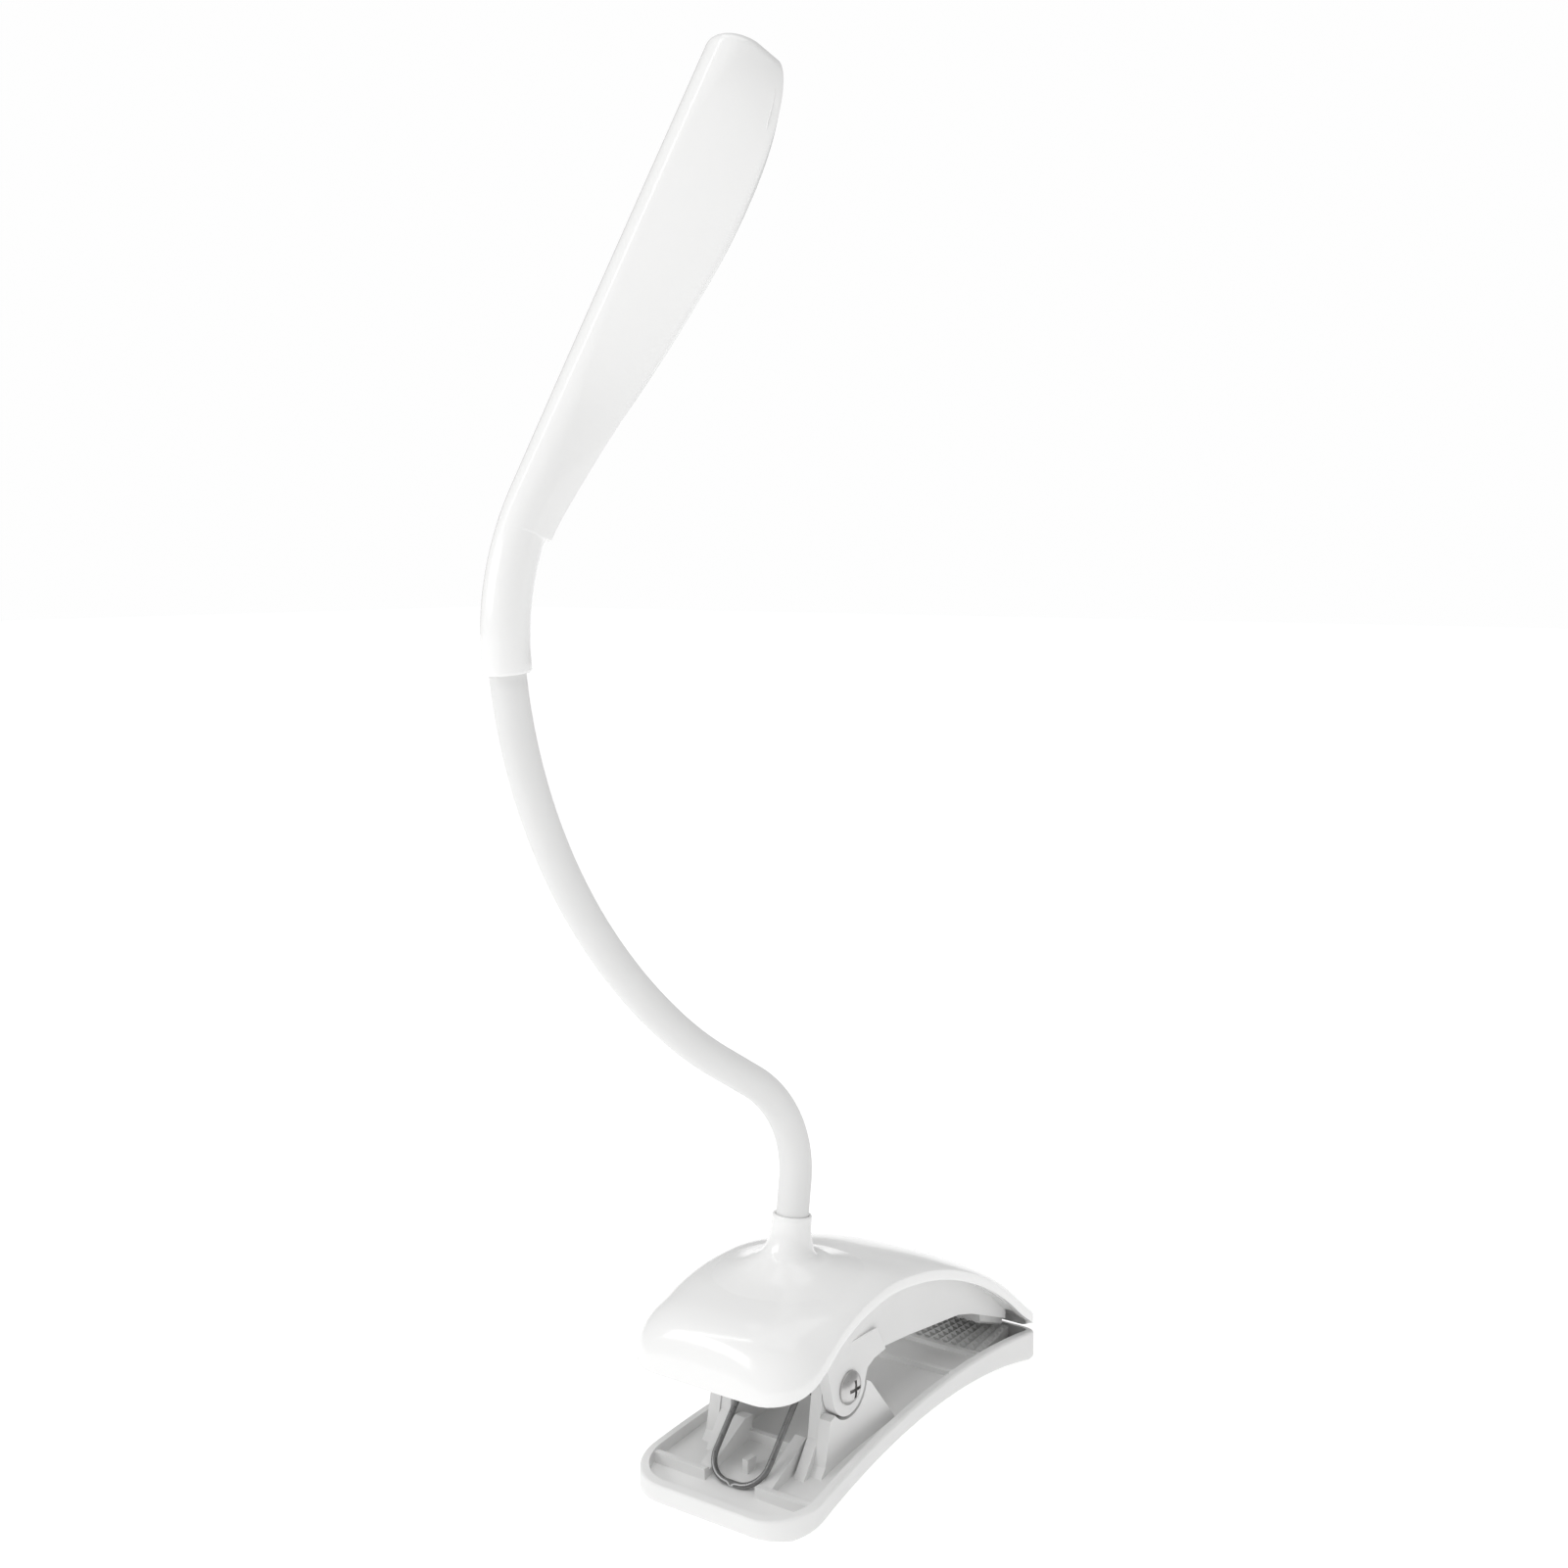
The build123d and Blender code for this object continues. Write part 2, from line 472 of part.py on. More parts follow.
with BuildPart() as jaw_housing:
    # flange plate: the underside of the grip, and the ledge round the walls
    with BuildSketch(Plane.XZ):
        with BuildLine():
            low, top = raised(LIP, 0, FLANGE_LOW), raised(LIP, 0, FLANGE_TOP)
            Spline(*low)
            Line(low[-1], top[-1])
            Spline(*top)
            Line(top[0], low[0])
        make_face()
    extrude(amount=40, both=True)
    with BuildSketch(Plane.XY):
        outline(SHELL_INSET, tip_corner=1, x1=FLANGE_TIP_X + SHELL_INSET)
    extrude(amount=80, mode=Mode.INTERSECT)
    add(housing_box.part)
    # hinge ears
    for side in (1, -1):
        plane, depth = xz_block(min(side * EAR_IN, side * EAR_OUT), max(side * EAR_IN, side * EAR_OUT))
        with BuildSketch(plane):
            with Locations((0, PIVOT_Z)):
                Circle(EAR_R)
            with BuildLine():
                Polyline((-EAR_R, PIVOT_Z - 0.6), (WALL_REAR_X, HINGE_ROOF_Z), (WALL_REAR_X, HINGE_ROOF_Z + 3),
                         (12, HINGE_ROOF_Z + 3), (16, 29.3), (11, 28.6), (8, 27.2), (EAR_R, PIVOT_Z - 0.4),
                         (-EAR_R, PIVOT_Z - 0.6))
            make_face()
        extrude(amount=depth)
    add(housing_pocket.part, mode=Mode.SUBTRACT)
    with BuildSketch(Plane.XZ.offset(-EAR_OUT)):
        with Locations((0, PIVOT_Z)):
            Circle(SCREW_R + SCREW_CLEAR)
    extrude(amount=2 * EAR_OUT, mode=Mode.SUBTRACT)
    # walls that hold the cell, posts under the board, seats for the screws
    for x in (CELL_X - CELL[0] / 2 - 1.2, CELL_X + CELL[0] / 2 + 1.2):
        with BuildSketch(Plane.XY.offset(belly_z(x) + BELLY_T / 2)):
            with Locations((x, 0)):
                Rectangle(1.2, 2 * (half_width(x) - WALL_INSET - WALL_T / 2))
        extrude(amount=5.4)
    for x in (BOARD_X - 7, BOARD_X + 7):
        with BuildSketch(Plane.XY.offset(belly_z(x) + BELLY_T / 2)):
            with Locations((x, BOARD_Y - 6), (x, BOARD_Y + 6)):
                Circle(1.3)
        extrude(amount=BOARD_Z - BOARD[2] / 2 - belly_z(x) - BELLY_T / 2)
    with BuildSketch(Plane.XY.offset(belly_z(MID_SCREW_X) + BELLY_T / 2)):
        with Locations((MID_SCREW_X, 0)):
            Circle(3.6)
    extrude(amount=32.0 - belly_z(MID_SCREW_X) - BELLY_T / 2)
    for x, y in GRIP_SCREWS:
        with BuildSketch(Plane.XY.offset(35.4)):
            with Locations((x, y)):
                Circle(3.2)
        extrude(amount=2.4)
        with BuildSketch(Plane.XY.offset(35.0)):
            with Locations((x, y)):
                Circle(HOUSING_SCREW_R)
        extrude(amount=6.0, mode=Mode.SUBTRACT)
    for radius, tall in [(HOUSING_HEAD_R + 0.2, 8.0), (HOUSING_SCREW_R, 13.0)]:
        with BuildSketch(Plane.XY.offset(20.0)):
            with Locations((MID_SCREW_X, 0)):
                Circle(radius)
        extrude(amount=tall, mode=Mode.SUBTRACT)
    # mouth of the charging socket
    with BuildSketch(Plane.XZ.offset(-20)):
        with Locations((BOARD_X, BOARD_Z + (BOARD[2] + SOCKET[2]) / 2)):
            Rectangle(SOCKET[0] + 0.3, SOCKET[2] + 0.3)
    extrude(amount=10, mode=Mode.SUBTRACT)
save(jaw_housing.part, "jaw_housing")

with BuildPart() as upper_pad:
    (xa, ya), (xb, yb) = UPPER_PAD
    with BuildSketch(Plane.XZ):
        with BuildLine():
            Polyline((xa, belly_z(xa)), (xb, belly_z(xb)), (xb, belly_z(xb) - UPPER_PAD_T),
                     (xa, belly_z(xa) - UPPER_PAD_T), (xa, belly_z(xa)))
        make_face()
    extrude(amount=30, both=True)
    with BuildSketch(Plane.XY):
        Polygon((xa, -ya), (xb, -yb), (xb, yb), (xa, ya), align=None)
    extrude(amount=30, mode=Mode.INTERSECT)
save(upper_pad.part, "upper_pad")

with BuildPart() as housing_screws:
    for x, y, z, length in [(*GRIP_SCREWS[0], 35.4, 9.0), (*GRIP_SCREWS[1], 35.4, 9.0),
                            (MID_SCREW_X, 0.0, 28.0, 8.0)]:
        with BuildSketch(Plane.XY.offset(z - HOUSING_HEAD_H)):
            with Locations((x, y)):
                Circle(HOUSING_HEAD_R)
        extrude(amount=HOUSING_HEAD_H)
        with BuildSketch(Plane.XY.offset(z)):
            with Locations((x, y)):
                Circle(HOUSING_SCREW_R)
        extrude(amount=length)
        with Locations((x, y, z - HOUSING_HEAD_H)):
            Box(2.6, 0.6, 1.6, mode=Mode.SUBTRACT)
            Box(0.6, 2.6, 1.6, mode=Mode.SUBTRACT)
save(housing_screws.part, "housing_screws")


# ---------------------------------------------------------------- upper jaw: power
(cell_xa, cell_za), (cell_xb, cell_zb) = BELLY[3], BELLY[4]
cell_tilt = degrees(atan2(cell_zb - cell_za, cell_xa - cell_xb))
cell_z = belly_z(CELL_X) + BELLY_T + CELL_LIFT + CELL[2] / 2 / cos(radians(cell_tilt))
with BuildPart(Plane(origin=(CELL_X, 0, cell_z)).rotated((0, cell_tilt, 0))) as battery_cell:
    Box(CELL[0] - 0.6, CELL[1], CELL[2])
    fillet(battery_cell.edges().filter_by(Axis.Y), 2.0)
save(battery_cell.part, "battery_cell")

with BuildPart() as charge_board:
    with Locations((BOARD_X, BOARD_Y, BOARD_Z)):
        Box(*BOARD)
    with Locations((BOARD_X - 4, BOARD_Y - 5, BOARD_Z + BOARD[2] / 2 + 0.5)):
        Box(4.0, 4.0, 1.0)
save(charge_board.part, "charge_board")

with BuildPart() as usb_socket:
    socket_z = BOARD_Z + (BOARD[2] + SOCKET[2]) / 2
    with BuildSketch(Plane.XZ.offset(-SOCKET_Y)):
        with Locations((BOARD_X, socket_z)):
            RectangleRounded(SOCKET[0], SOCKET[2], SOCKET[2] / 2 - 0.05)
            RectangleRounded(SOCKET[0] - 0.6, SOCKET[2] - 0.6, SOCKET[2] / 2 - 0.35, mode=Mode.SUBTRACT)
    extrude(amount=SOCKET[1])
    with BuildSketch(Plane.XZ.offset(-SOCKET_Y + SOCKET[1] - 0.8)):
        with Locations((BOARD_X, socket_z)):
            RectangleRounded(SOCKET[0], SOCKET[2], SOCKET[2] / 2 - 0.05)
    extrude(amount=0.8)
    with Locations((BOARD_X, SOCKET_Y - SOCKET[1] / 2 - 0.5, socket_z)):
        Box(6.6, SOCKET[1] - 1.0, 0.7)
save(usb_socket.part, "usb_socket")

with BuildPart() as neck_nut:
    with BuildSketch(COLLAR.offset(-20.0)):
        RegularPolygon(4.9, 6, major_radius=False)
        Circle(HOSE_R, mode=Mode.SUBTRACT)
    extrude(amount=3.0)
save(neck_nut.part, "neck_nut")


# ---------------------------------------------------------------- gooseneck
# Each piece ends in a shallow cone at a joint, so that two neighbours can tilt without touching.
SLEEVE_END, HOSE_END, WIRE_END = HEAD_COLLAR_START + 3.0, 176.0, NECK_END
starts = [(-COLLAR_DEPTH, -20.0, -26.0)] + [(s, s, s) for s in NECK_JOINTS]
ends = [(s, s, s) for s in NECK_JOINTS] + [(SLEEVE_END, HOSE_END, WIRE_END)]
CONE_REACH = 7.0
CONE = [(0, -1), (CONE_REACH, -1), (CONE_REACH, 0.05 + CONE_REACH * tan(radians(GAP_ANGLE))), (0, 0.05)]

for i, (first, last) in enumerate(zip(starts, ends)):
    with BuildPart() as gaps:
        for s, way in [(first[0], 1)] * (i > 0) + [(last[0], -1)] * (i < len(NECK_JOINTS)):
            at = neck_plane(s)
            with BuildSketch(Plane(origin=at.origin, x_dir=at.x_dir, z_dir=-way * at.y_dir)):
                Polygon(*CONE, align=None)
            revolve(axis=Axis(at.origin, at.z_dir))
    for name, s0, s1, outer, bore in [("sleeve", first[0], last[0], SLEEVE_R, HOSE_R + 0.03),
                                      ("hose", first[1], last[1], HOSE_R, HOSE_BORE)]:
        with BuildPart() as tube:
            with BuildLine() as line:
                for a, b, straight in neck_stops(s0, s1):
                    if straight:
                        Line(neck_at(a)[0], neck_at(b)[0])
                    else:
                        ThreePointArc(neck_at(a)[0], neck_at((a + b) / 2)[0], neck_at(b)[0])
            with BuildSketch(neck_plane(s0)):
                Circle(outer)
                Circle(bore, mode=Mode.SUBTRACT)
            sweep(path=line.line)
            add(gaps.part, mode=Mode.SUBTRACT)
        save(tube.part, f"{name}_{i}")
    with BuildPart() as wires:
        with BuildLine() as line:
            for a, b, straight in neck_stops(first[2] + WIRE_TRIM, last[2] - WIRE_TRIM):
                if straight:
                    Line(neck_at(a)[0], neck_at(b)[0])
                else:
                    ThreePointArc(neck_at(a)[0], neck_at((a + b) / 2)[0], neck_at(b)[0])
        for side in (1, -1):
            with BuildSketch(neck_plane(first[2] + WIRE_TRIM)):
                with Locations((0, side * WIRE_PAIR_GAP)):
                    Circle(WIRE_PAIR_R)
            sweep(path=line.line)
    save(wires.part, f"wires_{i}")


# ---------------------------------------------------------------- head
# The head's own frame: z along it, x out of its flat front, y across it.
HEAD = neck_plane(NECK_END)


def front_x(z):
    """How far the front stands off the head's axis at z along it."""
    return FRONT_X + HEAD_SLOPE * z


def back_section(z, w, inset):
    """Points of the head's back at z: front edge, where the flat wing meets the round nose, and the spine."""
    nose = min(NOSE_R + NOSE_GROWTH * (z + HEAD_FOOT), NOSE_MAX)
    centre, radius = SPINE_X + nose, nose - inset
    reach_x, reach_y = front_x(z) - centre, w - inset
    turn = atan2(reach_y, -reach_x) - acos(min(radius / hypot(reach_x, reach_y), 1.0))
    return [(front_x(z), reach_y), (centre - radius * cos(turn), radius * sin(turn)), (centre - radius, 0)]


head_blocks = []
for inset in (0.0, HEAD_T, HEAD_T + INSERT_GAP, HEAD_T + LEDGE):
    with BuildPart() as block:
        for z, w in HEAD_SECTIONS:
            edge, meet, spine = back_section(z, w, inset)
            with BuildSketch(HEAD.offset(z)):
                with BuildLine():
                    Line(edge, meet)
                    ThreePointArc(meet, spine, (meet[0], -meet[1]))
                    Polyline((meet[0], -meet[1]), (edge[0], -edge[1]), edge)
                make_face()
        loft()
        with BuildSketch(Plane(origin=HEAD.origin, x_dir=HEAD.y_dir, z_dir=HEAD.x_dir).offset(-20)):
            along = HEAD_LENGTH - HEAD_ROUND_Z - inset
            wide = HEAD_SECTIONS[-1][1] - inset
            with Locations((0, HEAD_ROUND_Z)):
                Ellipse(wide + 0.4, along)
            with Locations((0, HEAD_ROUND_Z / 2 - HEAD_FOOT)):
                Rectangle(60, HEAD_ROUND_Z + 2 * HEAD_FOOT)
        extrude(amount=50, mode=Mode.INTERSECT)
    head_blocks.append(block.part)
head_solid, head_cavity, head_insert, head_ledge = head_blocks


# Front plane: x across the head, y along it, z outward.
FRONT = Plane(origin=HEAD.from_local_coords(Vector(FRONT_X, 0, 0)), x_dir=HEAD.y_dir,
              z_dir=HEAD.x_dir - HEAD.z_dir * HEAD_SLOPE)
collar_plane = neck_plane(HEAD_COLLAR_START)

with BuildPart() as ledge_band:
    with BuildSketch(FRONT.offset(-PANEL_T - LEDGE)):
        with Locations((0, HEAD_LENGTH / 2)):
            Rectangle(60, HEAD_LENGTH + 20)
    extrude(amount=LEDGE)
    add(head_cavity, mode=Mode.INTERSECT)
    add(head_ledge, mode=Mode.SUBTRACT)

with BuildPart() as collar_bore:
    with BuildLine() as line:
        for a, b, straight in neck_stops(HEAD_COLLAR_START, NECK_END - HEAD_FOOT + COLLAR_LAP):
            if straight:
                Line(neck_at(a)[0], neck_at(b)[0])
            else:
                ThreePointArc(neck_at(a)[0], neck_at((a + b) / 2)[0], neck_at(b)[0])
    with BuildSketch(collar_plane):
        Circle(HOSE_R + 0.05)
    sweep(path=line.line)
    with BuildSketch(collar_plane):
        Circle(SLEEVE_R + 0.1)
    extrude(amount=SLEEVE_END - HEAD_COLLAR_START + 0.2)

with BuildPart() as head_shell:
    add(head_solid)
    add(head_cavity, mode=Mode.SUBTRACT)
    add(ledge_band.part)
    with BuildLine() as line:
        for a, b, straight in neck_stops(HEAD_COLLAR_START, NECK_END - HEAD_FOOT + COLLAR_LAP):
            if straight:
                Line(neck_at(a)[0], neck_at(b)[0])
            else:
                ThreePointArc(neck_at(a)[0], neck_at((a + b) / 2)[0], neck_at(b)[0])
    with BuildSketch(collar_plane):
        Circle(HEAD_COLLAR_R)
    sweep(path=line.line)
    add(collar_bore.part, mode=Mode.SUBTRACT)
    for u in BOARD_SCREWS:
        with BuildSketch(FRONT.offset(-BOARD_DEPTH - LED_BOARD_T)):
            with Locations((0, u)):
                Circle(2.2)
                Circle(BOARD_SCREW_R, mode=Mode.SUBTRACT)
        extrude(amount=-(front_x(u) - SPINE_X - HEAD_T / 2 - BOARD_DEPTH - LED_BOARD_T))
save(head_shell.part, "head_shell")

window_sides = []
for grow in (0.0, -0.05, WINDOW_LAP):
    with BuildSketch(FRONT) as window:
        with BuildLine():
            wide = HEAD_SECTIONS[-1][1] - WINDOW_MARGIN + grow
            side = [(HEAD_SECTIONS[i][1] - WINDOW_MARGIN + grow, HEAD_SECTIONS[i][0]) for i in (3, 4)]
            side = [(WINDOW_FOOT + grow, WINDOW_START - grow)] + side + [(wide, HEAD_ROUND_Z)]
            Spline(*side)
            EllipticalCenterArc((0, HEAD_ROUND_Z), wide, HEAD_LENGTH - HEAD_ROUND_Z - WINDOW_MARGIN + grow,
                                arc_size=180)
            Spline(*[(-v, u) for v, u in side])
            Line(side[0], (-side[0][0], side[0][1]))
        make_face()
    window_sides.append(window.sketch)
window_hole, window_pane, window_flange = window_sides

with BuildPart() as front_frame:
    with BuildSketch(FRONT.offset(-PANEL_T)):
        with Locations((0, HEAD_LENGTH / 2 - HEAD_FOOT + COLLAR_LAP + 0.1)):
            Rectangle(60, HEAD_LENGTH)
        with Locations((0, HEAD_LENGTH - HEAD_FOOT)):
            Rectangle(60, 3 * HEAD_FOOT)
    extrude(amount=PANEL_T)
    add(head_insert, mode=Mode.INTERSECT)
    add(head_shell.part, mode=Mode.SUBTRACT)
    extrude(window_hole, amount=-PANEL_T - 1, mode=Mode.SUBTRACT)
    with BuildSketch(FRONT):
        with Locations((0, TOUCH_U)):
            Circle(TOUCH_R + 0.05)
    extrude(amount=-TOUCH_T, mode=Mode.SUBTRACT)
save(front_frame.part, "front_frame")

with BuildPart() as diffuser:
    extrude(window_pane.moved(Location(FRONT.z_dir * -0.2)), amount=-PANEL_T + 0.15)
    extrude(window_flange.moved(Location(FRONT.z_dir * (-PANEL_T - 0.05))), amount=-LAP_T)
save(diffuser.part, "diffuser")

with BuildPart() as touch_pad:
    with BuildSketch(FRONT.offset(-TOUCH_T)):
        with Locations((0, TOUCH_U)):
            Circle(TOUCH_R)
    extrude(amount=TOUCH_T)
save(touch_pad.part, "touch_pad")

with BuildPart() as led_board:
    with BuildSketch(FRONT.offset(-BOARD_DEPTH)):
        with BuildLine():
            Polyline(*[(v, u) for u, v in LED_BOARD], *[(-v, u) for u, v in reversed(LED_BOARD)],
                     (LED_BOARD[0][1], LED_BOARD[0][0]))
        make_face()
        with Locations(*[(0, u) for u in BOARD_SCREWS]):
            Circle(BOARD_SCREW_R, mode=Mode.SUBTRACT)
    extrude(amount=-LED_BOARD_T)
save(led_board.part, "led_board")

with BuildPart() as leds:
    with BuildSketch(FRONT.offset(-BOARD_DEPTH)):
        with Locations(*[(side * LED_SPREAD, LED_START + LED_PITCH * i)
                         for i in range(LED_ROWS) for side in (1, -1)]):
            Rectangle(LED_SIZE[0], LED_SIZE[1])
    extrude(amount=LED_SIZE[2])
save(leds.part, "leds")

with BuildPart() as board_screws:
    with BuildSketch(FRONT.offset(-BOARD_DEPTH)):
        with Locations(*[(0, u) for u in BOARD_SCREWS]):
            Circle(1.6)
    extrude(amount=1.1)
    with BuildSketch(FRONT.offset(-BOARD_DEPTH)):
        with Locations(*[(0, u) for u in BOARD_SCREWS]):
            Circle(BOARD_SCREW_R)
    extrude(amount=-4.0)
save(board_screws.part, "board_screws")
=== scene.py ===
"""Clip-on reading lamp: skins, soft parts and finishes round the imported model, with its stage."""

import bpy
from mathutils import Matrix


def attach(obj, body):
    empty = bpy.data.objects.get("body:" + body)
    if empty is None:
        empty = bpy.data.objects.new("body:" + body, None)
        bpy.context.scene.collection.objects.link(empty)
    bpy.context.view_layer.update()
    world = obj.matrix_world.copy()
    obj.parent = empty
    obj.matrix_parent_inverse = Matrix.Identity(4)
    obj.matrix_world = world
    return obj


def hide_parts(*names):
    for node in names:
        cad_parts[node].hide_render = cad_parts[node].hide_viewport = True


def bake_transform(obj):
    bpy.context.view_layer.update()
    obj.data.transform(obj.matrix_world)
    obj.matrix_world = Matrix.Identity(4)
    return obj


bl_info = {
    "name": "Clip-on reading lamp",
    "version": (1, 0, 0),
    "blender": (4, 5, 0),
    "location": "View3D > Sidebar > Reading Lamp",
    "description": "Builds the lamp's glossy skins, gooseneck, spring and pads round its frame",
    "category": "Object",
}

from math import acos, atan2, cos, hypot, pi, radians, sin, sqrt

import bmesh
import bpy
from bpy.props import FloatProperty, FloatVectorProperty, IntProperty, PointerProperty
from mathutils import Matrix, Vector

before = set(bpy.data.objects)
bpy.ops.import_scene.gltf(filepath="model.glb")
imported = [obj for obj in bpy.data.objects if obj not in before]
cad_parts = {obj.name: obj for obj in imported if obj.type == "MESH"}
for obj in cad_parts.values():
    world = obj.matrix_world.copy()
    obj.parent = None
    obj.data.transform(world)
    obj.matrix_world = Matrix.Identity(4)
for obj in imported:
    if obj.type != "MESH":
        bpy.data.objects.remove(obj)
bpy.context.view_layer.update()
MM = 0.001

# Clip outline and cover heights along it, in millimetres: (x, z).
REAR_X, TIP_X, REAR_HALF, TIP_HALF = -34.0, 97.0, 26.5, 16.5
REAR_CORNER, TIP_CORNER = 12.0, 5.0
LIP = [(-34, 32), (-29, 33.6), (-24.5, 35.6), (-20, 37.8), (-13.5, 41.3), (-9, 43), (-4.4, 44.3), (0.3, 45.1),
       (5, 45.6), (10, 45.8), (15, 45.5), (20, 44.8), (30, 42.9), (41, 39.7), (52, 35.4), (64, 29.6),
       (76, 22.2), (86, 14.8), (92, 10.9), (97, 8.0)]
SPINE = [(-34, 37), (-33, 40.8), (-31, 44.4), (-27, 47), (-22, 48.5), (-15, 49.8), (0, 50.8), (12, 50.9),
         (20, 50), (30, 48.2), (41, 45.2), (52, 40.9), (65, 34.9), (78, 28), (85, 23.3), (93, 16.2),
         (96, 12.2),
         (97, 10.6)]
ARCH_MID_X, ARCH_RISE, ARCH_HALF, TRAY_FLOOR = 31.0, 8.0, 60.0, 2.2

# Gooseneck: (length, radius, final lean), its joints, and where the head's collar starts.
NECK_RUNS = [(8.0, None, -6.0), (None, 28.7, 57.0), (11.0, None, 57.0), (None, 95.0, 48.0),
             (None, 131.0, 5.0),
             (None, 64.0, -27.5)]
NECK_LEAN, NECK_TURN, COLLAR_X, COLLAR_Z = -6.0, 17.0, 1.5, 64.0
NECK_JOINTS = [9.0, 45.5, 82.0, 118.5, 155.0]
NECK_BODIES = ["upper_jaw", "neck_1", "neck_2", "neck_3", "neck_4", "head"]
HEAD_COLLAR = 162.0

# Head: half its width along it, its depth at the collar and how fast that grows.
HEAD_WIDTHS = [(-10, 3.8), (3, 5.9), (15, 8.6), (38, 15.0), (60, 19.3), (78, 20.0), (117, 20.0)]
HEAD_LENGTH, HEAD_ROUND, HEAD_FOOT = 117.0, 70.0, 10.0
HEAD_FRONT, HEAD_SPINE, HEAD_SLOPE = 5.65, -5.3, 0.035
NOSE_RADIUS, NOSE_GROWTH, NOSE_MOST = 5.3, 0.05, 7.5
COLLAR_RADIUS, COLLAR_LIP, TIP_DEPTH = 5.3, 0.3, 6.0
TIP_FULLNESS, WING_BULGE = 0.58, 0.09
COLLAR_OPENS, PANEL_STARTS = -8.3, -7.7

# Pads: where each starts and ends along the clip, and half its width there.
LOWER_PAD, UPPER_PAD = [(70.5, 13.0), (92.0, 9.4)], [(71.0, 12.4), (88.0, 9.6)]
LOWER_PAD_TOP, UPPER_PAD_THICKNESS, PAD_CELLS, PAD_GAP = 8.6, 2.6, 9, 0.02
BELLY_START, BELLY_END = (66.0, 20.7), (89.0, 11.4)

# How far to either side of a joint the neck is sampled, how finely and how thick the sleeve is, and how far it
# runs past both ends.
BEND_REACH, SLEEVE_STEP, SLEEVE_WALL, NECK_TUCK = 13.0, 1.2, 1.0, 3.0


# ------------------------------------------------------------------ sizes and colours a user may change
class LampSizes(bpy.types.PropertyGroup):
    lip_band: FloatProperty(name="Lip band", description="Height of the cover's upright lip",
                            default=2.5 * MM, subtype="DISTANCE", unit="LENGTH")
    cover_wall: FloatProperty(name="Cover wall", description="Thickness of the cover", default=2.0 * MM,
                              subtype="DISTANCE", unit="LENGTH")
    head_wall: FloatProperty(name="Head wall", description="Thickness of the head's shell", default=1.5 * MM,
                             subtype="DISTANCE", unit="LENGTH")
    sleeve_radius: FloatProperty(name="Sleeve radius", description="Radius of the rubber sleeve",
                                 default=4.0 * MM, subtype="DISTANCE", unit="LENGTH")
    stud_height: FloatProperty(name="Stud height", description="Height of the pads' pyramids",
                               default=0.8 * MM, subtype="DISTANCE", unit="LENGTH")
    tube_sides: IntProperty(name="Tube sides", description="Facets round the gooseneck", default=40, min=12)


class LampColours(bpy.types.PropertyGroup):
    gloss: FloatVectorProperty(name="Gloss white", description="Cover and head", subtype="COLOR",
                               default=(0.86, 0.86, 0.855))
    matt: FloatVectorProperty(name="Matt white", description="Jaws", subtype="COLOR",
                               default=(0.78, 0.78, 0.775))
    sleeve: FloatVectorProperty(name="Sleeve", description="Gooseneck rubber", subtype="COLOR",
                                default=(0.76, 0.76, 0.755))
    pad: FloatVectorProperty(name="Pad", description="Gripping pads", subtype="COLOR",
                              default=(0.6, 0.6, 0.595))
    screw: FloatVectorProperty(name="Screw", description="Hinge screws", subtype="COLOR",
                               default=(0.58, 0.575, 0.57))
    spring: FloatVectorProperty(name="Spring", description="Spring wire", subtype="COLOR",
                                default=(0.26, 0.26, 0.26))


def sizes():
    return bpy.context.scene.lamp_sizes


def colours():
    return bpy.context.scene.lamp_colours


# ------------------------------------------------------------------ shader maths
class Field:
    """A shader value that can be added, scaled and compared like a number."""

    def __init__(self, finish, socket):
        self.finish, self.socket = finish, socket

    def maths(self, operation, first, second):
        return self.finish.node("ShaderNodeMath", {"operation": operation}, {0: first, 1: second})

    def __add__(self, other):
        return self.maths("ADD", self, other)

    def __mul__(self, other):
        return self.maths("MULTIPLY", self, other)

    def __sub__(self, other):
        return self.maths("SUBTRACT", self, other)

    def __rsub__(self, other):
        return self.maths("SUBTRACT", other, self)

    def __gt__(self, other):
        return self.maths("GREATER_THAN", self, other)

    __radd__, __rmul__ = __add__, __mul__


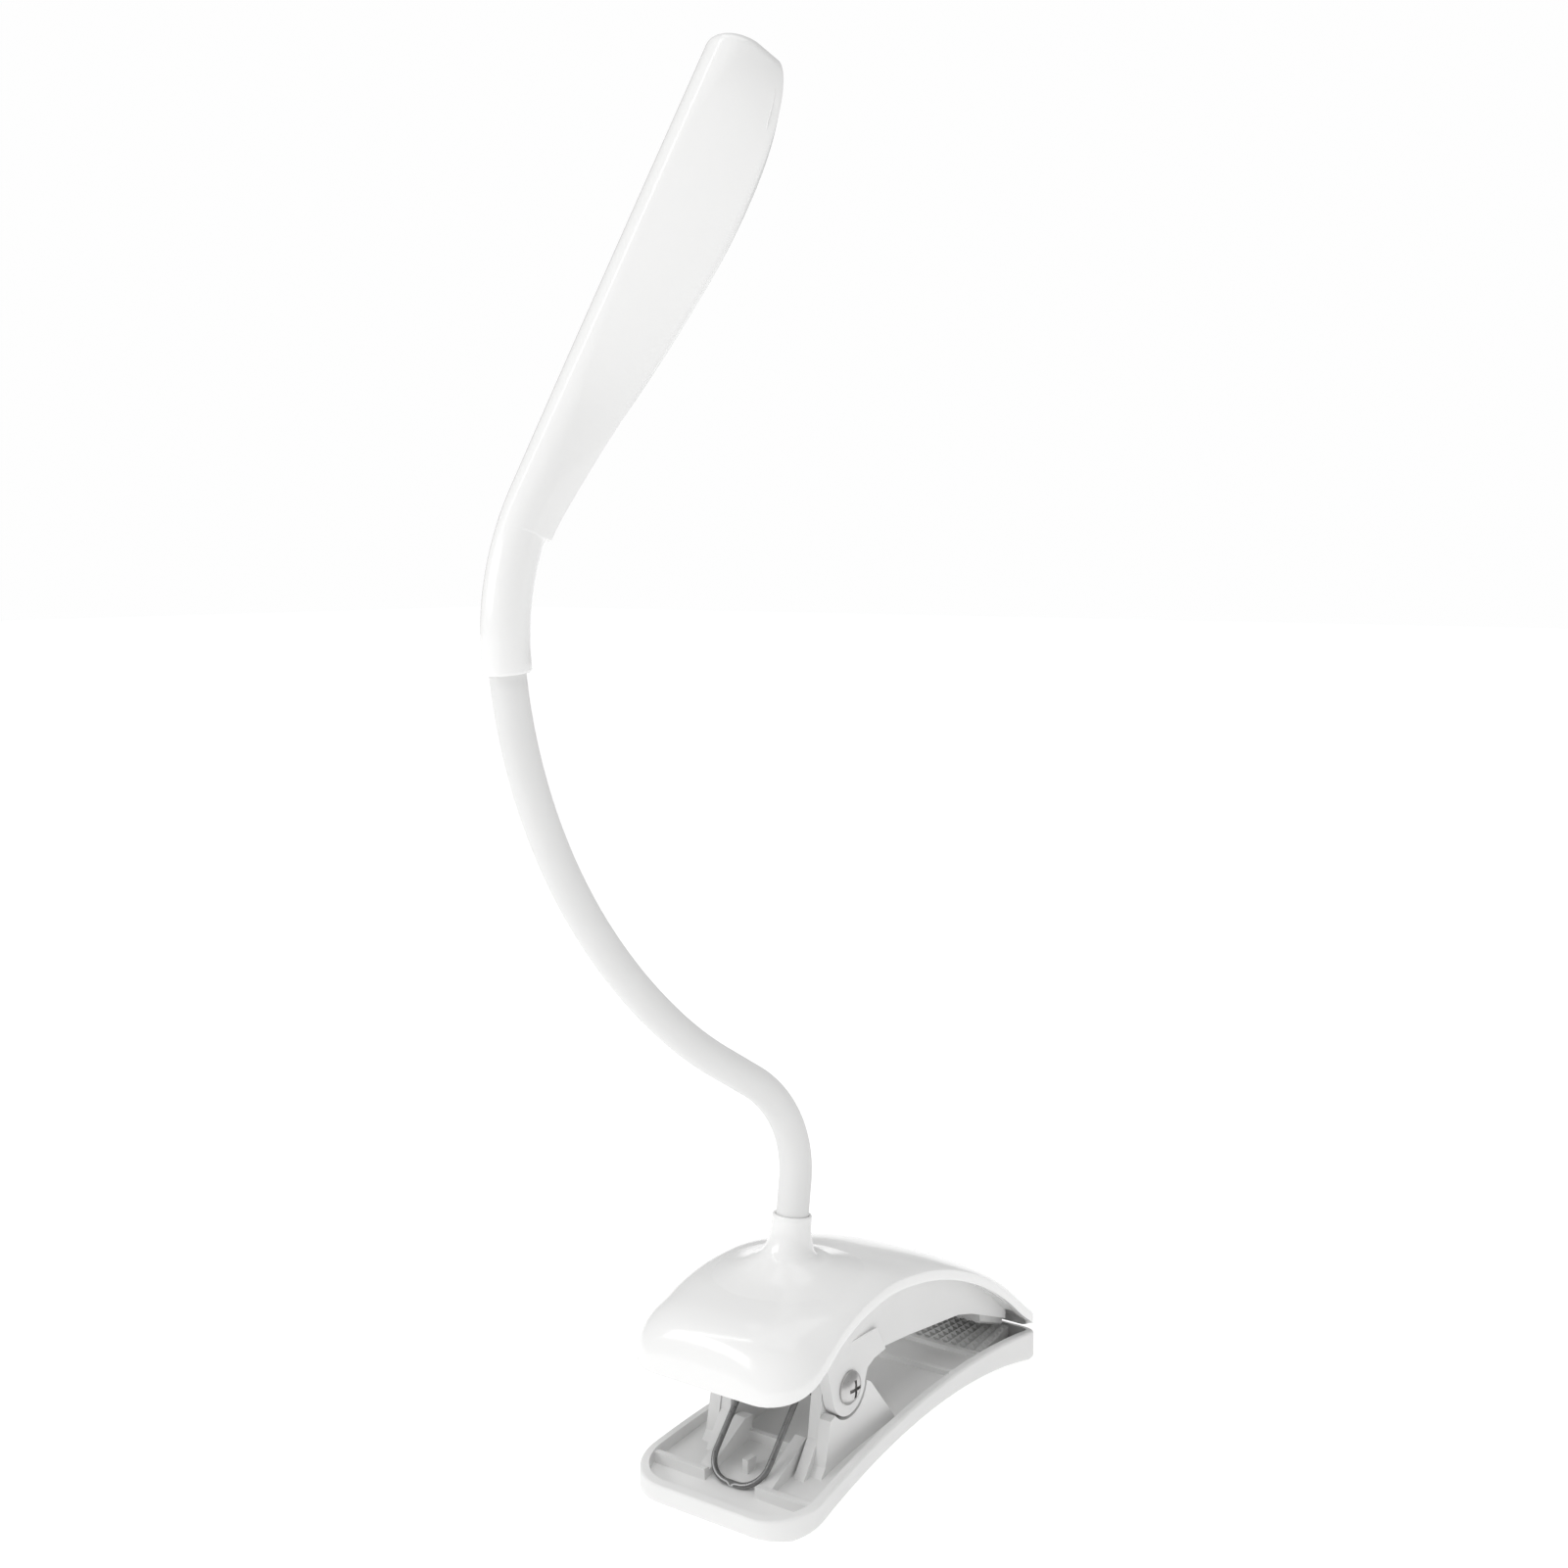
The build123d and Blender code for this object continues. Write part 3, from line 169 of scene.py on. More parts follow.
class Finish:
    """One material: its surface shader and the patterns that feed it."""

    def __init__(self, name, colour, roughness, **shader):
        self.material = bpy.data.materials.new(name)
        self.material.use_nodes = True
        self.tree = self.material.node_tree
        self.shader = self.tree.nodes["Principled BSDF"]
        self.place = self.node("ShaderNodeTexCoord", out="Object")
        self.set("Base Color", (*colour, 1.0))
        self.set("Roughness", roughness)
        for socket, value in shader.items():
            self.set(socket.replace("_", " "), value)

    def node(self, kind, settings=None, inputs=None, out=0):
        node = self.tree.nodes.new(kind)
        for key, value in (settings or {}).items():
            setattr(node, key, value)
        for key, value in (inputs or {}).items():
            self.feed(node.inputs[key], value)
        return Field(self, node.outputs[out])

    def feed(self, socket, value):
        if isinstance(value, Field):
            self.tree.links.new(value.socket, socket)
        else:
            socket.default_value = value

    def set(self, name, value):
        self.feed(self.shader.inputs[name], value)

    def noise(self, per_metre, detail=2.0, stretch=(1, 1, 1)):
        place = self.node("ShaderNodeMapping", None, {"Vector": self.place, "Scale": stretch}, "Vector")
        return self.node("ShaderNodeTexNoise", None, {"Vector": place, "Scale": per_metre, "Detail": detail})

    def tint(self, mask, low, high):
        """Base colour that runs between two colours with the mask."""
        mix = self.node("ShaderNodeMix", {"data_type": "RGBA"},
                        {"Factor": mask, 6: (*low, 1.0), 7: (*high, 1.0)}, 2)
        self.set("Base Color", mix)

    def relief(self, height, depth_mm, strength=1.0):
        bump = self.node("ShaderNodeBump", None,
                         {"Height": height, "Distance": depth_mm * MM, "Strength": strength}, "Normal")
        self.set("Normal", bump)


def shade(colour, amount):
    return tuple(min(1.0, c * amount) for c in colour)


def moulded_gloss():
    """Polished moulding: faint flow marks in the skin and a slight unevenness in the shine."""
    f = Finish("gloss_white", colours().gloss, 0.16, Coat_Weight=0.25, Coat_Roughness=0.06, IOR=1.49)
    f.tint(f.noise(35, 3), shade(colours().gloss, 0.985), shade(colours().gloss, 1.01))
    f.set("Roughness", 0.13 + 0.07 * f.noise(160, 3))
    f.relief(f.noise(420, 1), 0.012)
    return f.material


def moulded_matt():
    """Spark-eroded moulding: a fine even grain, a little cloudy."""
    f = Finish("matt_white", colours().matt, 0.45, IOR=1.49)
    f.tint(f.noise(60, 4), shade(colours().matt, 0.97), shade(colours().matt, 1.02))
    f.set("Roughness", 0.38 + 0.16 * f.noise(900, 2))
    f.relief(f.noise(5200, 2), 0.02, 0.7)
    return f.material


def silicone():
    """Sleeve rubber: soft, dry sheen with fine drag marks from sliding it on."""
    f = Finish("neck_sleeve", colours().sleeve, 0.5, Sheen_Weight=0.25, Sheen_Roughness=0.4, IOR=1.42)
    f.tint(f.noise(45, 4), shade(colours().sleeve, 0.96), shade(colours().sleeve, 1.02))
    f.set("Roughness", 0.44 + 0.16 * f.noise(700, 3))
    f.relief(f.noise(2600, 2), 0.012, 0.6)
    return f.material


def pad_rubber():
    f = Finish("pad_rubber", colours().pad, 0.75, IOR=1.5)
    f.tint(f.noise(300, 4), shade(colours().pad, 0.86), shade(colours().pad, 1.1))
    f.set("Roughness", 0.62 + 0.2 * f.noise(1200, 2))
    f.relief(f.noise(5000, 2), 0.03, 0.6)
    return f.material


def plated_screw():
    """Nickel-plated steel, turned: fine scratches and a duller bloom."""
    f = Finish("screw_steel", colours().screw, 0.3, Metallic=1.0)
    scratches = f.noise(900, 4, (1, 8, 1))
    f.tint(f.noise(220, 3), shade(colours().screw, 0.75), shade(colours().screw, 1.15))
    f.set("Roughness", 0.2 + 0.25 * scratches)
    f.relief(scratches, 0.01, 0.5)
    return f.material


def drawn_wire():
    """Hard-drawn spring wire with an oiled grey skin."""
    f = Finish("spring_steel", colours().spring, 0.3, Metallic=1.0)
    drag = f.noise(1400, 3, (1, 1, 0.3))
    f.tint(drag, shade(colours().spring, 0.7), shade(colours().spring, 1.25))
    f.set("Roughness", 0.2 + 0.22 * drag)
    f.relief(drag, 0.008, 0.5)
    return f.material


def bare_metal(name, colour):
    f = Finish(name, colour, 0.35, Metallic=1.0)
    grain = f.noise(800, 4, (1, 6, 1))
    f.tint(grain, shade(colour, 0.85), shade(colour, 1.1))
    f.set("Roughness", 0.25 + 0.25 * grain)
    f.relief(grain, 0.01, 0.4)
    return f.material


def frosted():
    """Light panel: milky, with a fine frosting."""
    f = Finish("diffuser", (0.93, 0.93, 0.915), 0.4, IOR=1.49, Coat_Weight=0.15, Coat_Roughness=0.25)
    f.tint(f.noise(80, 3), (0.9, 0.9, 0.885), (0.95, 0.95, 0.935))
    f.set("Roughness", 0.34 + 0.14 * f.noise(2400, 2))
    f.relief(f.noise(4200, 2), 0.015, 0.7)
    return f.material


def board_mask():
    """Circuit board: white mask with a grid of faint vias."""
    f = Finish("circuit_board", (0.82, 0.84, 0.8), 0.35)
    cells = f.node("ShaderNodeTexVoronoi", {"feature": "DISTANCE_TO_EDGE"},
                   {"Vector": f.place, "Scale": 420.0}, "Distance")
    f.tint(cells > 0.12, (0.6, 0.5, 0.26), (0.84, 0.86, 0.82))
    f.set("Roughness", 0.3 + 0.2 * f.noise(900, 2))
    f.relief(cells, 0.02, 0.3)
    return f.material


def plain(name, colour, roughness, grain=900):
    """A small hidden part's plastic: cloudy colour and a fine grain."""
    f = Finish(name, colour, roughness)
    f.tint(f.noise(200, 3), shade(colour, 0.88), shade(colour, 1.08))
    f.set("Roughness", roughness - 0.08 + 0.16 * f.noise(grain, 2))
    f.relief(f.noise(grain * 3, 2), 0.01, 0.5)
    return f.material


FINISHES = {
    "gloss_white": moulded_gloss,
    "matte_white": moulded_matt,
    "neck_sleeve": silicone,
    "grip_pad": pad_rubber,
    "screw_steel": plated_screw,
    "spring_steel": drawn_wire,
    "plain_steel": lambda: bare_metal("plain_steel", (0.6, 0.6, 0.61)),
    "nut_brass": lambda: bare_metal("nut_brass", (0.72, 0.56, 0.28)),
    "cell_wrap": lambda: plain("cell_wrap", (0.12, 0.25, 0.5), 0.35),
    "circuit_board": board_mask,
    "diffuser": frosted,
    "touch_grey": lambda: plain("touch_grey", (0.55, 0.55, 0.56), 0.4),
    "led_yellow": lambda: plain("led_yellow", (0.9, 0.78, 0.3), 0.3),
    "wire_red": lambda: plain("wire_red", (0.62, 0.06, 0.05), 0.45),
}
made = {}


def finish(slot):
    if slot not in made:
        made[slot] = FINISHES[slot]()
    return made[slot]


# ------------------------------------------------------------------ shape helpers
def along(points, x):
    """Smooth height at x through a list of (x, z) points."""
    i = max(j for j in range(len(points) - 1) if j == 0 or points[j][0] <= x)
    (x0, z0), (x1, z1) = points[i], points[i + 1]
    before, after = points[max(i - 1, 0)], points[min(i + 2, len(points) - 1)]
    run = x1 - x0
    m0 = (z1 - before[1]) / (x1 - before[0]) * run
    m1 = (after[1] - z0) / (after[0] - x0) * run
    t = min(max((x - x0) / run, 0.0), 1.0)
    return ((2 * t ** 3 - 3 * t ** 2 + 1) * z0 + (t ** 3 - 2 * t ** 2 + t) * m0
            + (3 * t ** 2 - 2 * t ** 3) * z1 + (t ** 3 - t ** 2) * m1)


def smooth(low, high, x):
    t = min(max((x - low) / (high - low), 0.0), 1.0)
    return t * t * (3 - 2 * t)


def straight_half(x):
    return REAR_HALF + (TIP_HALF - REAR_HALF) * (x - REAR_X) / (TIP_X - REAR_X)


def rounded_half(x):
    """Half the clip's width at x, following the rounded corners at both ends."""
    half = straight_half(x)
    for corner, depth in ((REAR_CORNER, x - REAR_X), (TIP_CORNER, TIP_X - x)):
        if depth < corner:
            half -= corner - sqrt(max(corner ** 2 - (corner - depth) ** 2, 0.0))
    return half


def arch_top(x):
    """Height of the tray's floor at x."""
    radius = (ARCH_HALF ** 2 + ARCH_RISE ** 2) / (2 * ARCH_RISE)
    arch = sqrt((radius + TRAY_FLOOR) ** 2 - (x - ARCH_MID_X) ** 2)
    return max(TRAY_FLOOR + 0.2, ARCH_RISE - radius + arch)


def belly(x):
    """Height of the jaw housing's belly at x."""
    (x0, z0), (x1, z1) = BELLY_START, BELLY_END
    return z0 + (z1 - z0) * (x - x0) / (x1 - x0)


def cover_top(x, y):
    """Height of the cover's skin above the point (x, y)."""
    x = min(max(x, REAR_X), TIP_X)
    band = along(LIP, x) + sizes().lip_band / MM
    side = min(abs(y) / max(rounded_half(x), 0.1), 1.0)
    return band + (along(SPINE, x) - band) * (1 - side ** 2.6) ** 0.62


def stations(count):
    """Places along the clip, closer together round its corners."""
    turns = 10
    rear = [REAR_X + REAR_CORNER * (1 - cos(pi / 2 * i / turns)) for i in range(turns)]
    tip = [TIP_X - TIP_CORNER * (1 - cos(pi / 2 * i / turns)) for i in range(turns, -1, -1)]
    first, last = REAR_X + REAR_CORNER, TIP_X - TIP_CORNER
    return rear + [first + (last - first) * i / count for i in range(count)] + tip


def neck_plan():
    runs, s, h, z, lean = [], 0.0, 0.0, COLLAR_Z, NECK_LEAN
    for length, radius, end in NECK_RUNS:
        a, b = radians(lean), radians(end)
        if radius is not None:
            length = radius * abs(b - a)
        runs.append((s, length, a, b, h, z))
        if radius is None:
            h, z = h + length * sin(a), z + length * cos(a)
        else:
            side = radius if b > a else -radius
            h, z = h + side * (cos(a) - cos(b)), z + side * (sin(b) - sin(a))
        s, lean = s + length, end
    return runs


NECK = neck_plan()
NECK_END = NECK[-1][0] + NECK[-1][1]
AWAY = Vector((-cos(radians(NECK_TURN)), sin(radians(NECK_TURN)), 0))
ACROSS = Vector((sin(radians(NECK_TURN)), cos(radians(NECK_TURN)), 0))


def neck_frame(s):
    """Frame on the gooseneck's centreline, s millimetres from the collar: z along it, y across its bend."""
    s0, length, a, b, h, z = next((r for r in NECK if s <= r[0] + r[1]), NECK[-1])
    t, lean = s - s0, a
    if a == b:
        h, z = h + t * sin(a), z + t * cos(a)
    else:
        lean = a + (b - a) * t / length
        radius = length / (b - a)
        h, z = h + radius * (cos(a) - cos(lean)), z + radius * (sin(lean) - sin(a))
    forward = AWAY * sin(lean) + Vector((0, 0, cos(lean)))
    side = ACROSS.cross(forward)
    place = Matrix((side, ACROSS, forward)).transposed().to_4x4()
    place.translation = Vector((COLLAR_X, 0, z)) + AWAY * h
    return place


HEAD = neck_frame(NECK_END)


def finished(name, bm, slot, smooth_faces=True):
    """Turn a bmesh in millimetres into a piece in metres with its finish."""
    bmesh.ops.scale(bm, vec=(MM, MM, MM), verts=bm.verts)
    mesh = bpy.data.meshes.new(name)
    for face in bm.faces:
        face.smooth = smooth_faces
    bm.to_mesh(mesh)
    bm.free()
    piece = bpy.data.objects.new(name, mesh)
    bpy.context.scene.collection.objects.link(piece)
    mesh.materials.append(finish(slot))
    return piece


def thicken(piece, thickness, bevel=0.0):
    wall = piece.modifiers.new("wall", "SOLIDIFY")
    wall.thickness, wall.offset, wall.use_even_offset = thickness, -1.0, True
    if bevel:
        edge = piece.modifiers.new("edge", "BEVEL")
        edge.width, edge.segments, edge.limit_method, edge.angle_limit = bevel, 2, "ANGLE", radians(50)


def outward(bm, inside):
    """Turn the faces so that they look away from a point inside."""
    bmesh.ops.recalc_face_normals(bm, faces=bm.faces)
    face = max(bm.faces, key=lambda f: f.calc_area())
    if (face.calc_center_median() - Vector(inside)).dot(face.normal) < 0:
        bmesh.ops.reverse_faces(bm, faces=bm.faces)


def sleeve_tube(bm, frames, radii, sides):
    """Rings of the given radii carried along frames and joined into a tube."""
    ring = bmesh.ops.create_circle(bm, segments=sides, radius=1.0)["verts"]
    edges = [e for e in bm.edges]
    last = Matrix.Identity(4)
    for i, (place, radius) in enumerate(zip(frames, radii)):
        here = place @ Matrix.Scale(radius, 4)
        if i:
            grown = bmesh.ops.extrude_edge_only(bm, edges=edges)["geom"]
            ring = [g for g in grown if isinstance(g, bmesh.types.BMVert)]
            edges = [g for g in grown if isinstance(g, bmesh.types.BMEdge)]
        bmesh.ops.transform(bm, matrix=here @ last.inverted(), verts=ring)
        last = here


def cad_copy(node):
    """The CAD node's surface in millimetres, joined up."""
    bm = bmesh.new()
    bm.from_mesh(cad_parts[node].data)
    bmesh.ops.scale(bm, vec=(1 / MM, 1 / MM, 1 / MM), verts=bm.verts)
    bmesh.ops.remove_doubles(bm, verts=bm.verts, dist=0.0005)
    return bm


def dress(node, slot):
    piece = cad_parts[node]
    if not piece.material_slots:
        piece.data.materials.append(None)
    for place in piece.material_slots:
        place.material = finish(slot)
    for face in piece.data.polygons:
        face.use_smooth = True


# ------------------------------------------------------------------ the pieces
class LAMP_OT_cover(bpy.types.Operator):
    """Crowned glossy cover with its upright lip"""
    bl_idname, bl_label = "lamp.cover", "Cover"

    def execute(self, context):
        places = stations(64)
        across = 44
        bm = bmesh.new()
        bmesh.ops.create_grid(bm, x_segments=len(places) - 1, y_segments=across, size=1.0)
        for v in bm.verts:
            x = places[round((v.co.x + 1) / 2 * (len(places) - 1))]
            y = rounded_half(x) * sin(v.co.y * pi / 2)
            v.co = (x, y, cover_top(x, y))
        rim = [e for e in bm.edges if e.is_boundary]
        lip = bmesh.ops.extrude_edge_only(bm, edges=rim)["geom"]
        for v in (g for g in lip if isinstance(g, bmesh.types.BMVert)):
            v.co.z = along(LIP, v.co.x)
        outward(bm, (30, 0, 20))
        piece = finished("cover_skin", bm, "gloss_white")
        thicken(piece, sizes().cover_wall, 0.35 * MM)
        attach(piece, "upper_jaw")
        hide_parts("top_cover")
        return {"FINISHED"}


class LAMP_OT_collar(bpy.types.Operator):
    """Trumpet collar that flares into the cover"""
    bl_idname, bl_label = "lamp.collar", "Collar"

    def execute(self, context):
        # radius, depth below the mouth, height above the cover's skin
        profile = [(4.05, 3.5, 0), (4.05, 0.35, 0), (4.2, 0.06, 0), (4.45, 0, 0), (4.7, 0.06, 0),
                   (4.86, 0.35, 0), (4.88, 1.2, 0), (4.93, 2.6, 0), (5.02, 4, 0), (5.18, 5.2, 0), (5.42, 6.4, 0),
                   (5.72, 7.5, 6.9),
                   (6.1, 8.5, 6.05), (6.6, 9.5, 5.2), (7.2, 10.3, 4.45), (7.9, 11.1, 3.75), (8.8, 11.9, 3.05),
                   (9.8, 12.6, 2.42), (11, 13.2, 1.82), (12.4, 13.7, 1.27), (14, 14.2, 0.8),
                   (15.6, 14.8, 0.44),
                   (17, 15.3, 0.2), (18.4, 15.8, 0.04), (19.6, 16.2, -0.12)]
        bm = bmesh.new()
        dots = [bm.verts.new((r, 0, -d)) for r, d, _ in profile]
        for a, b in zip(dots, dots[1:]):
            bm.edges.new((a, b))
        bmesh.ops.spin(bm, geom=bm.verts[:] + bm.edges[:], cent=(0, 0, 0), axis=(0, 0, 1),
                       angle=2 * pi, steps=72, use_merge=True, use_duplicate=False)
        bmesh.ops.remove_doubles(bm, verts=bm.verts, dist=0.001)
        mouth = neck_frame(0)
        raised = {(round(r, 3), round(d, 3)): h for r, d, h in profile}
        for v in bm.verts:
            r, d = hypot(v.co.x, v.co.y), -v.co.z
            stem = mouth @ v.co
            key = min(raised, key=lambda k: abs(k[0] - r) + abs(k[1] - d))
            foot = mouth @ Vector((v.co.x, v.co.y, -13.0))
            skin = Vector((foot.x, foot.y, cover_top(foot.x, foot.y) + raised[key]))
            v.co = stem.lerp(skin, smooth(5.8, 9.8, r))
        outward(bm, (1.5, 0, 45))
        piece = finished("cover_collar", bm, "gloss_white")
        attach(piece, "upper_jaw")
        return {"FINISHED"}


class LAMP_OT_jaws(bpy.types.Operator):
    """Matt mouldings of both jaws, and the hinge screws"""
    bl_idname, bl_label = "lamp.jaws", "Jaws"

    def execute(self, context):
        for node in ("lower_jaw", "jaw_housing"):
            dress(node, "matte_white")
        dress("hinge_screws", "screw_steel")
        dress("axle_tube", "plain_steel")
        return {"FINISHED"}


class LAMP_OT_pads(bpy.types.Operator):
    """Gripping pads with rows of small pyramids"""
    bl_idname, bl_label = "lamp.pads", "Pads"

    def execute(self, context):
        stud = sizes().stud_height / MM
        lower = [(x, half, LOWER_PAD_TOP - stud) for x, half in LOWER_PAD]
        upper = [(x, half, belly(x) - UPPER_PAD_THICKNESS + stud) for x, half in UPPER_PAD]
        for name, node, body, (near, far), base, up in (
            ("pad_lower", "lower_pad", "lower_jaw", lower, arch_top, 1),
            ("pad_upper", "upper_pad", "upper_jaw", upper, belly, -1),
        ):
            bm = bmesh.new()
            bmesh.ops.create_grid(bm, x_segments=PAD_CELLS, y_segments=PAD_CELLS, size=1.0)
            for v in bm.verts:
                t = (v.co.x + 1) / 2
                half = near[1] + (far[1] - near[1]) * t
                v.co = (near[0] + (far[0] - near[0]) * t, half * v.co.y, near[2] + (far[2] - near[2]) * t)
            rim = [e for e in bm.edges if e.is_boundary]
            tops = bm.faces[:]
            skirt = bmesh.ops.extrude_edge_only(bm, edges=rim)["geom"]
            for v in (g for g in skirt if isinstance(g, bmesh.types.BMVert)):
                v.co.z = base(v.co.x) + PAD_GAP * up
            bmesh.ops.holes_fill(bm, edges=[e for e in bm.edges if e.is_boundary])
            middle = (near[0] + far[0]) / 2
            outward(bm, (middle, 0, base(middle) + 0.5 * up))
            bmesh.ops.poke(bm, faces=tops, offset=stud)
            piece = finished(name, bm, "grip_pad", False)
            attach(piece, body)
            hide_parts(node)
        return {"FINISHED"}


class LAMP_OT_spring(bpy.types.Operator):
    """Clip spring, cut into a near and a far half"""
    bl_idname, bl_label = "lamp.spring", "Spring"

    def execute(self, context):
        for name, side in (("spring_near", -1), ("spring_far", 1)):
            bm = cad_copy("clip_spring")
            bmesh.ops.bisect_plane(bm, geom=bm.verts[:] + bm.edges[:] + bm.faces[:], plane_co=(0, 0, 0),
                                   plane_no=(0, -side, 0), clear_outer=True)
            bmesh.ops.holes_fill(bm, edges=[e for e in bm.edges if e.is_boundary])
            piece = finished(name, bm, "spring_steel")
            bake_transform(piece)
            if side > 0:
                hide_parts("clip_spring")
        return {"FINISHED"}


class LAMP_OT_gooseneck(bpy.types.Operator):
    """Rubber sleeve and the hose inside it, smooth across every bend"""
    bl_idname, bl_label = "lamp.gooseneck", "Gooseneck"

    def execute(self, context):
        halfway = [(a + b) / 2 for a, b in zip(NECK_JOINTS, NECK_JOINTS[1:])]
        stops = [-NECK_TUCK] + halfway + [HEAD_COLLAR + NECK_TUCK]
        sleeve = sizes().sleeve_radius / MM
        for i, joint in enumerate(NECK_JOINTS):
            first, last = stops[i], stops[i + 1]
            steps = max(2, round((last - first) / SLEEVE_STEP))
            frames = [neck_frame(first + (last - first) * k / steps) for k in range(steps + 1)]
            start = neck_frame(joint - min(BEND_REACH, joint - 1.5)).translation
            end = neck_frame(joint + min(BEND_REACH, HEAD_COLLAR - 1.0 - joint)).translation
            for name, slot, radius in (("sleeve", "neck_sleeve", sleeve),
                                       ("hose", "plain_steel", sleeve - SLEEVE_WALL)):
                bm = bmesh.new()
                sleeve_tube(bm, frames, [radius] * len(frames), sizes().tube_sides)
                outward(bm, neck_frame((first + last) / 2).translation)
                piece = finished(f"{name}_bend_{i + 1}", bm, slot)
                start * MM
                end * MM
                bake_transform(piece)
                last_piece = [f"{name}_{i + 1}"] if joint == NECK_JOINTS[-1] else []
                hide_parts(f"{name}_{i}", *last_piece)
        for i in range(len(NECK_BODIES)):
            dress(f"wires_{i}", "wire_red")
        return {"FINISHED"}


class LAMP_OT_head(bpy.types.Operator):
    """Head shell: a round collar that opens into a slim leaf"""
    bl_idname, bl_label = "lamp.head", "Head"

    def section(self, u, turn):
        """Point of the back at u along the head: turn 0 is its spine, -1 and 1 are its front edges."""
        width, front, spine = along(HEAD_WIDTHS, u), HEAD_FRONT + HEAD_SLOPE * u, HEAD_SPINE
        if u > HEAD_ROUND:
            width *= max(1 - ((u - HEAD_ROUND) / (HEAD_LENGTH - HEAD_ROUND)) ** 2, 0.0) ** TIP_FULLNESS
        if u > HEAD_LENGTH - TIP_DEPTH:
            into_tip = (u - HEAD_LENGTH + TIP_DEPTH) / TIP_DEPTH
            spine = front - (front - spine) * sqrt(max(1 - into_tip ** 2, 0.01))
        width = max(width, 0.05)
        nose = min(NOSE_RADIUS + NOSE_GROWTH * (u + HEAD_FOOT), NOSE_MOST)
        if u > HEAD_ROUND:
            nose = min(nose, 0.98 * width)
        nose = min(nose, (front - spine) * 0.6)
        centre, side, share = spine + nose, 1 if turn > 0 else -1, abs(turn)
        reach = hypot(front - centre, width)
        bend = atan2(width, centre - front) - acos(min(nose / reach, 1.0))
        angle = bend * min(share / 0.5, 1.0)
        x, y = centre - nose * cos(angle), nose * sin(angle)
        if share > 0.5:
            wing = (share - 0.5) / 0.5
            bulge = WING_BULGE * width * wing * (1 - wing)
            x, y = x + (front - x) * wing - bulge, y + (width - y) * wing
        return x, side * y

    def collar(self, u, turn):
        """Point of the round collar."""
        begin = HEAD_COLLAR - NECK_END
        radius = COLLAR_RADIUS - COLLAR_LIP * (1 - smooth(begin, begin + 0.5, u))
        return -radius * cos(turn * pi), radius * sin(turn * pi)

    def execute(self, context):
        begin = HEAD_COLLAR - NECK_END
        places = [begin, begin + 0.15, begin + 0.35, begin + 0.6]
        places += [begin + 0.6 + (-12 - begin - 0.6) * i / 16 for i in range(1, 17)]
        places += [-12 + 3.6 * i / 5 for i in range(1, 6)] + [-8.4 + 0.8 * i / 6 for i in range(1, 7)]
        places += [-7.6 + 7.6 * i / 10 for i in range(1, 11)] + [2.0 * i for i in range(1, 50)]
        places += [98 + 19 * sin(pi / 2 * i / 28) for i in range(1, 29)]
        around = 72
        bm = bmesh.new()
        bmesh.ops.create_grid(bm, x_segments=len(places) - 1, y_segments=around, size=1.0)
        for v in bm.verts:
            u = places[round((v.co.x + 1) / 2 * (len(places) - 1))]
            place = neck_frame(NECK_END + u) if u < 0 else HEAD
            ring, leaf = self.collar(u, v.co.y), self.section(max(u, -HEAD_FOOT), v.co.y)
            open_out = smooth(COLLAR_OPENS, PANEL_STARTS, u)
            x, y = (a + (b - a) * open_out for a, b in zip(ring, leaf))
            v.co = place @ Vector((x, y, max(u, 0)))
        bmesh.ops.remove_doubles(bm, verts=bm.verts, dist=0.02)
        outward(bm, HEAD @ Vector((2, 0, 70)))
        piece = finished("head_skin", bm, "gloss_white")
        thicken(piece, sizes().head_wall, 0.3 * MM)
        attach(piece, "head")
        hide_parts("head_shell")
        for node, slot in (("front_frame", "gloss_white"), ("diffuser", "diffuser"),
                           ("touch_pad", "touch_grey"), ("led_board", "circuit_board"), ("leds", "led_yellow"),
                           ("board_screws", "screw_steel")):
            dress(node, slot)
        return {"FINISHED"}


class LAMP_OT_inside(bpy.types.Operator):
    """Cell, charging parts, nut and screws inside the clip"""
    bl_idname, bl_label = "lamp.inside", "Inside parts"

    def execute(self, context):
        for node, slot in (("battery_cell", "cell_wrap"), ("charge_board", "circuit_board"),
                           ("usb_socket", "plain_steel"), ("neck_nut", "nut_brass"),
                           ("housing_screws", "screw_steel")):
            dress(node, slot)
        return {"FINISHED"}


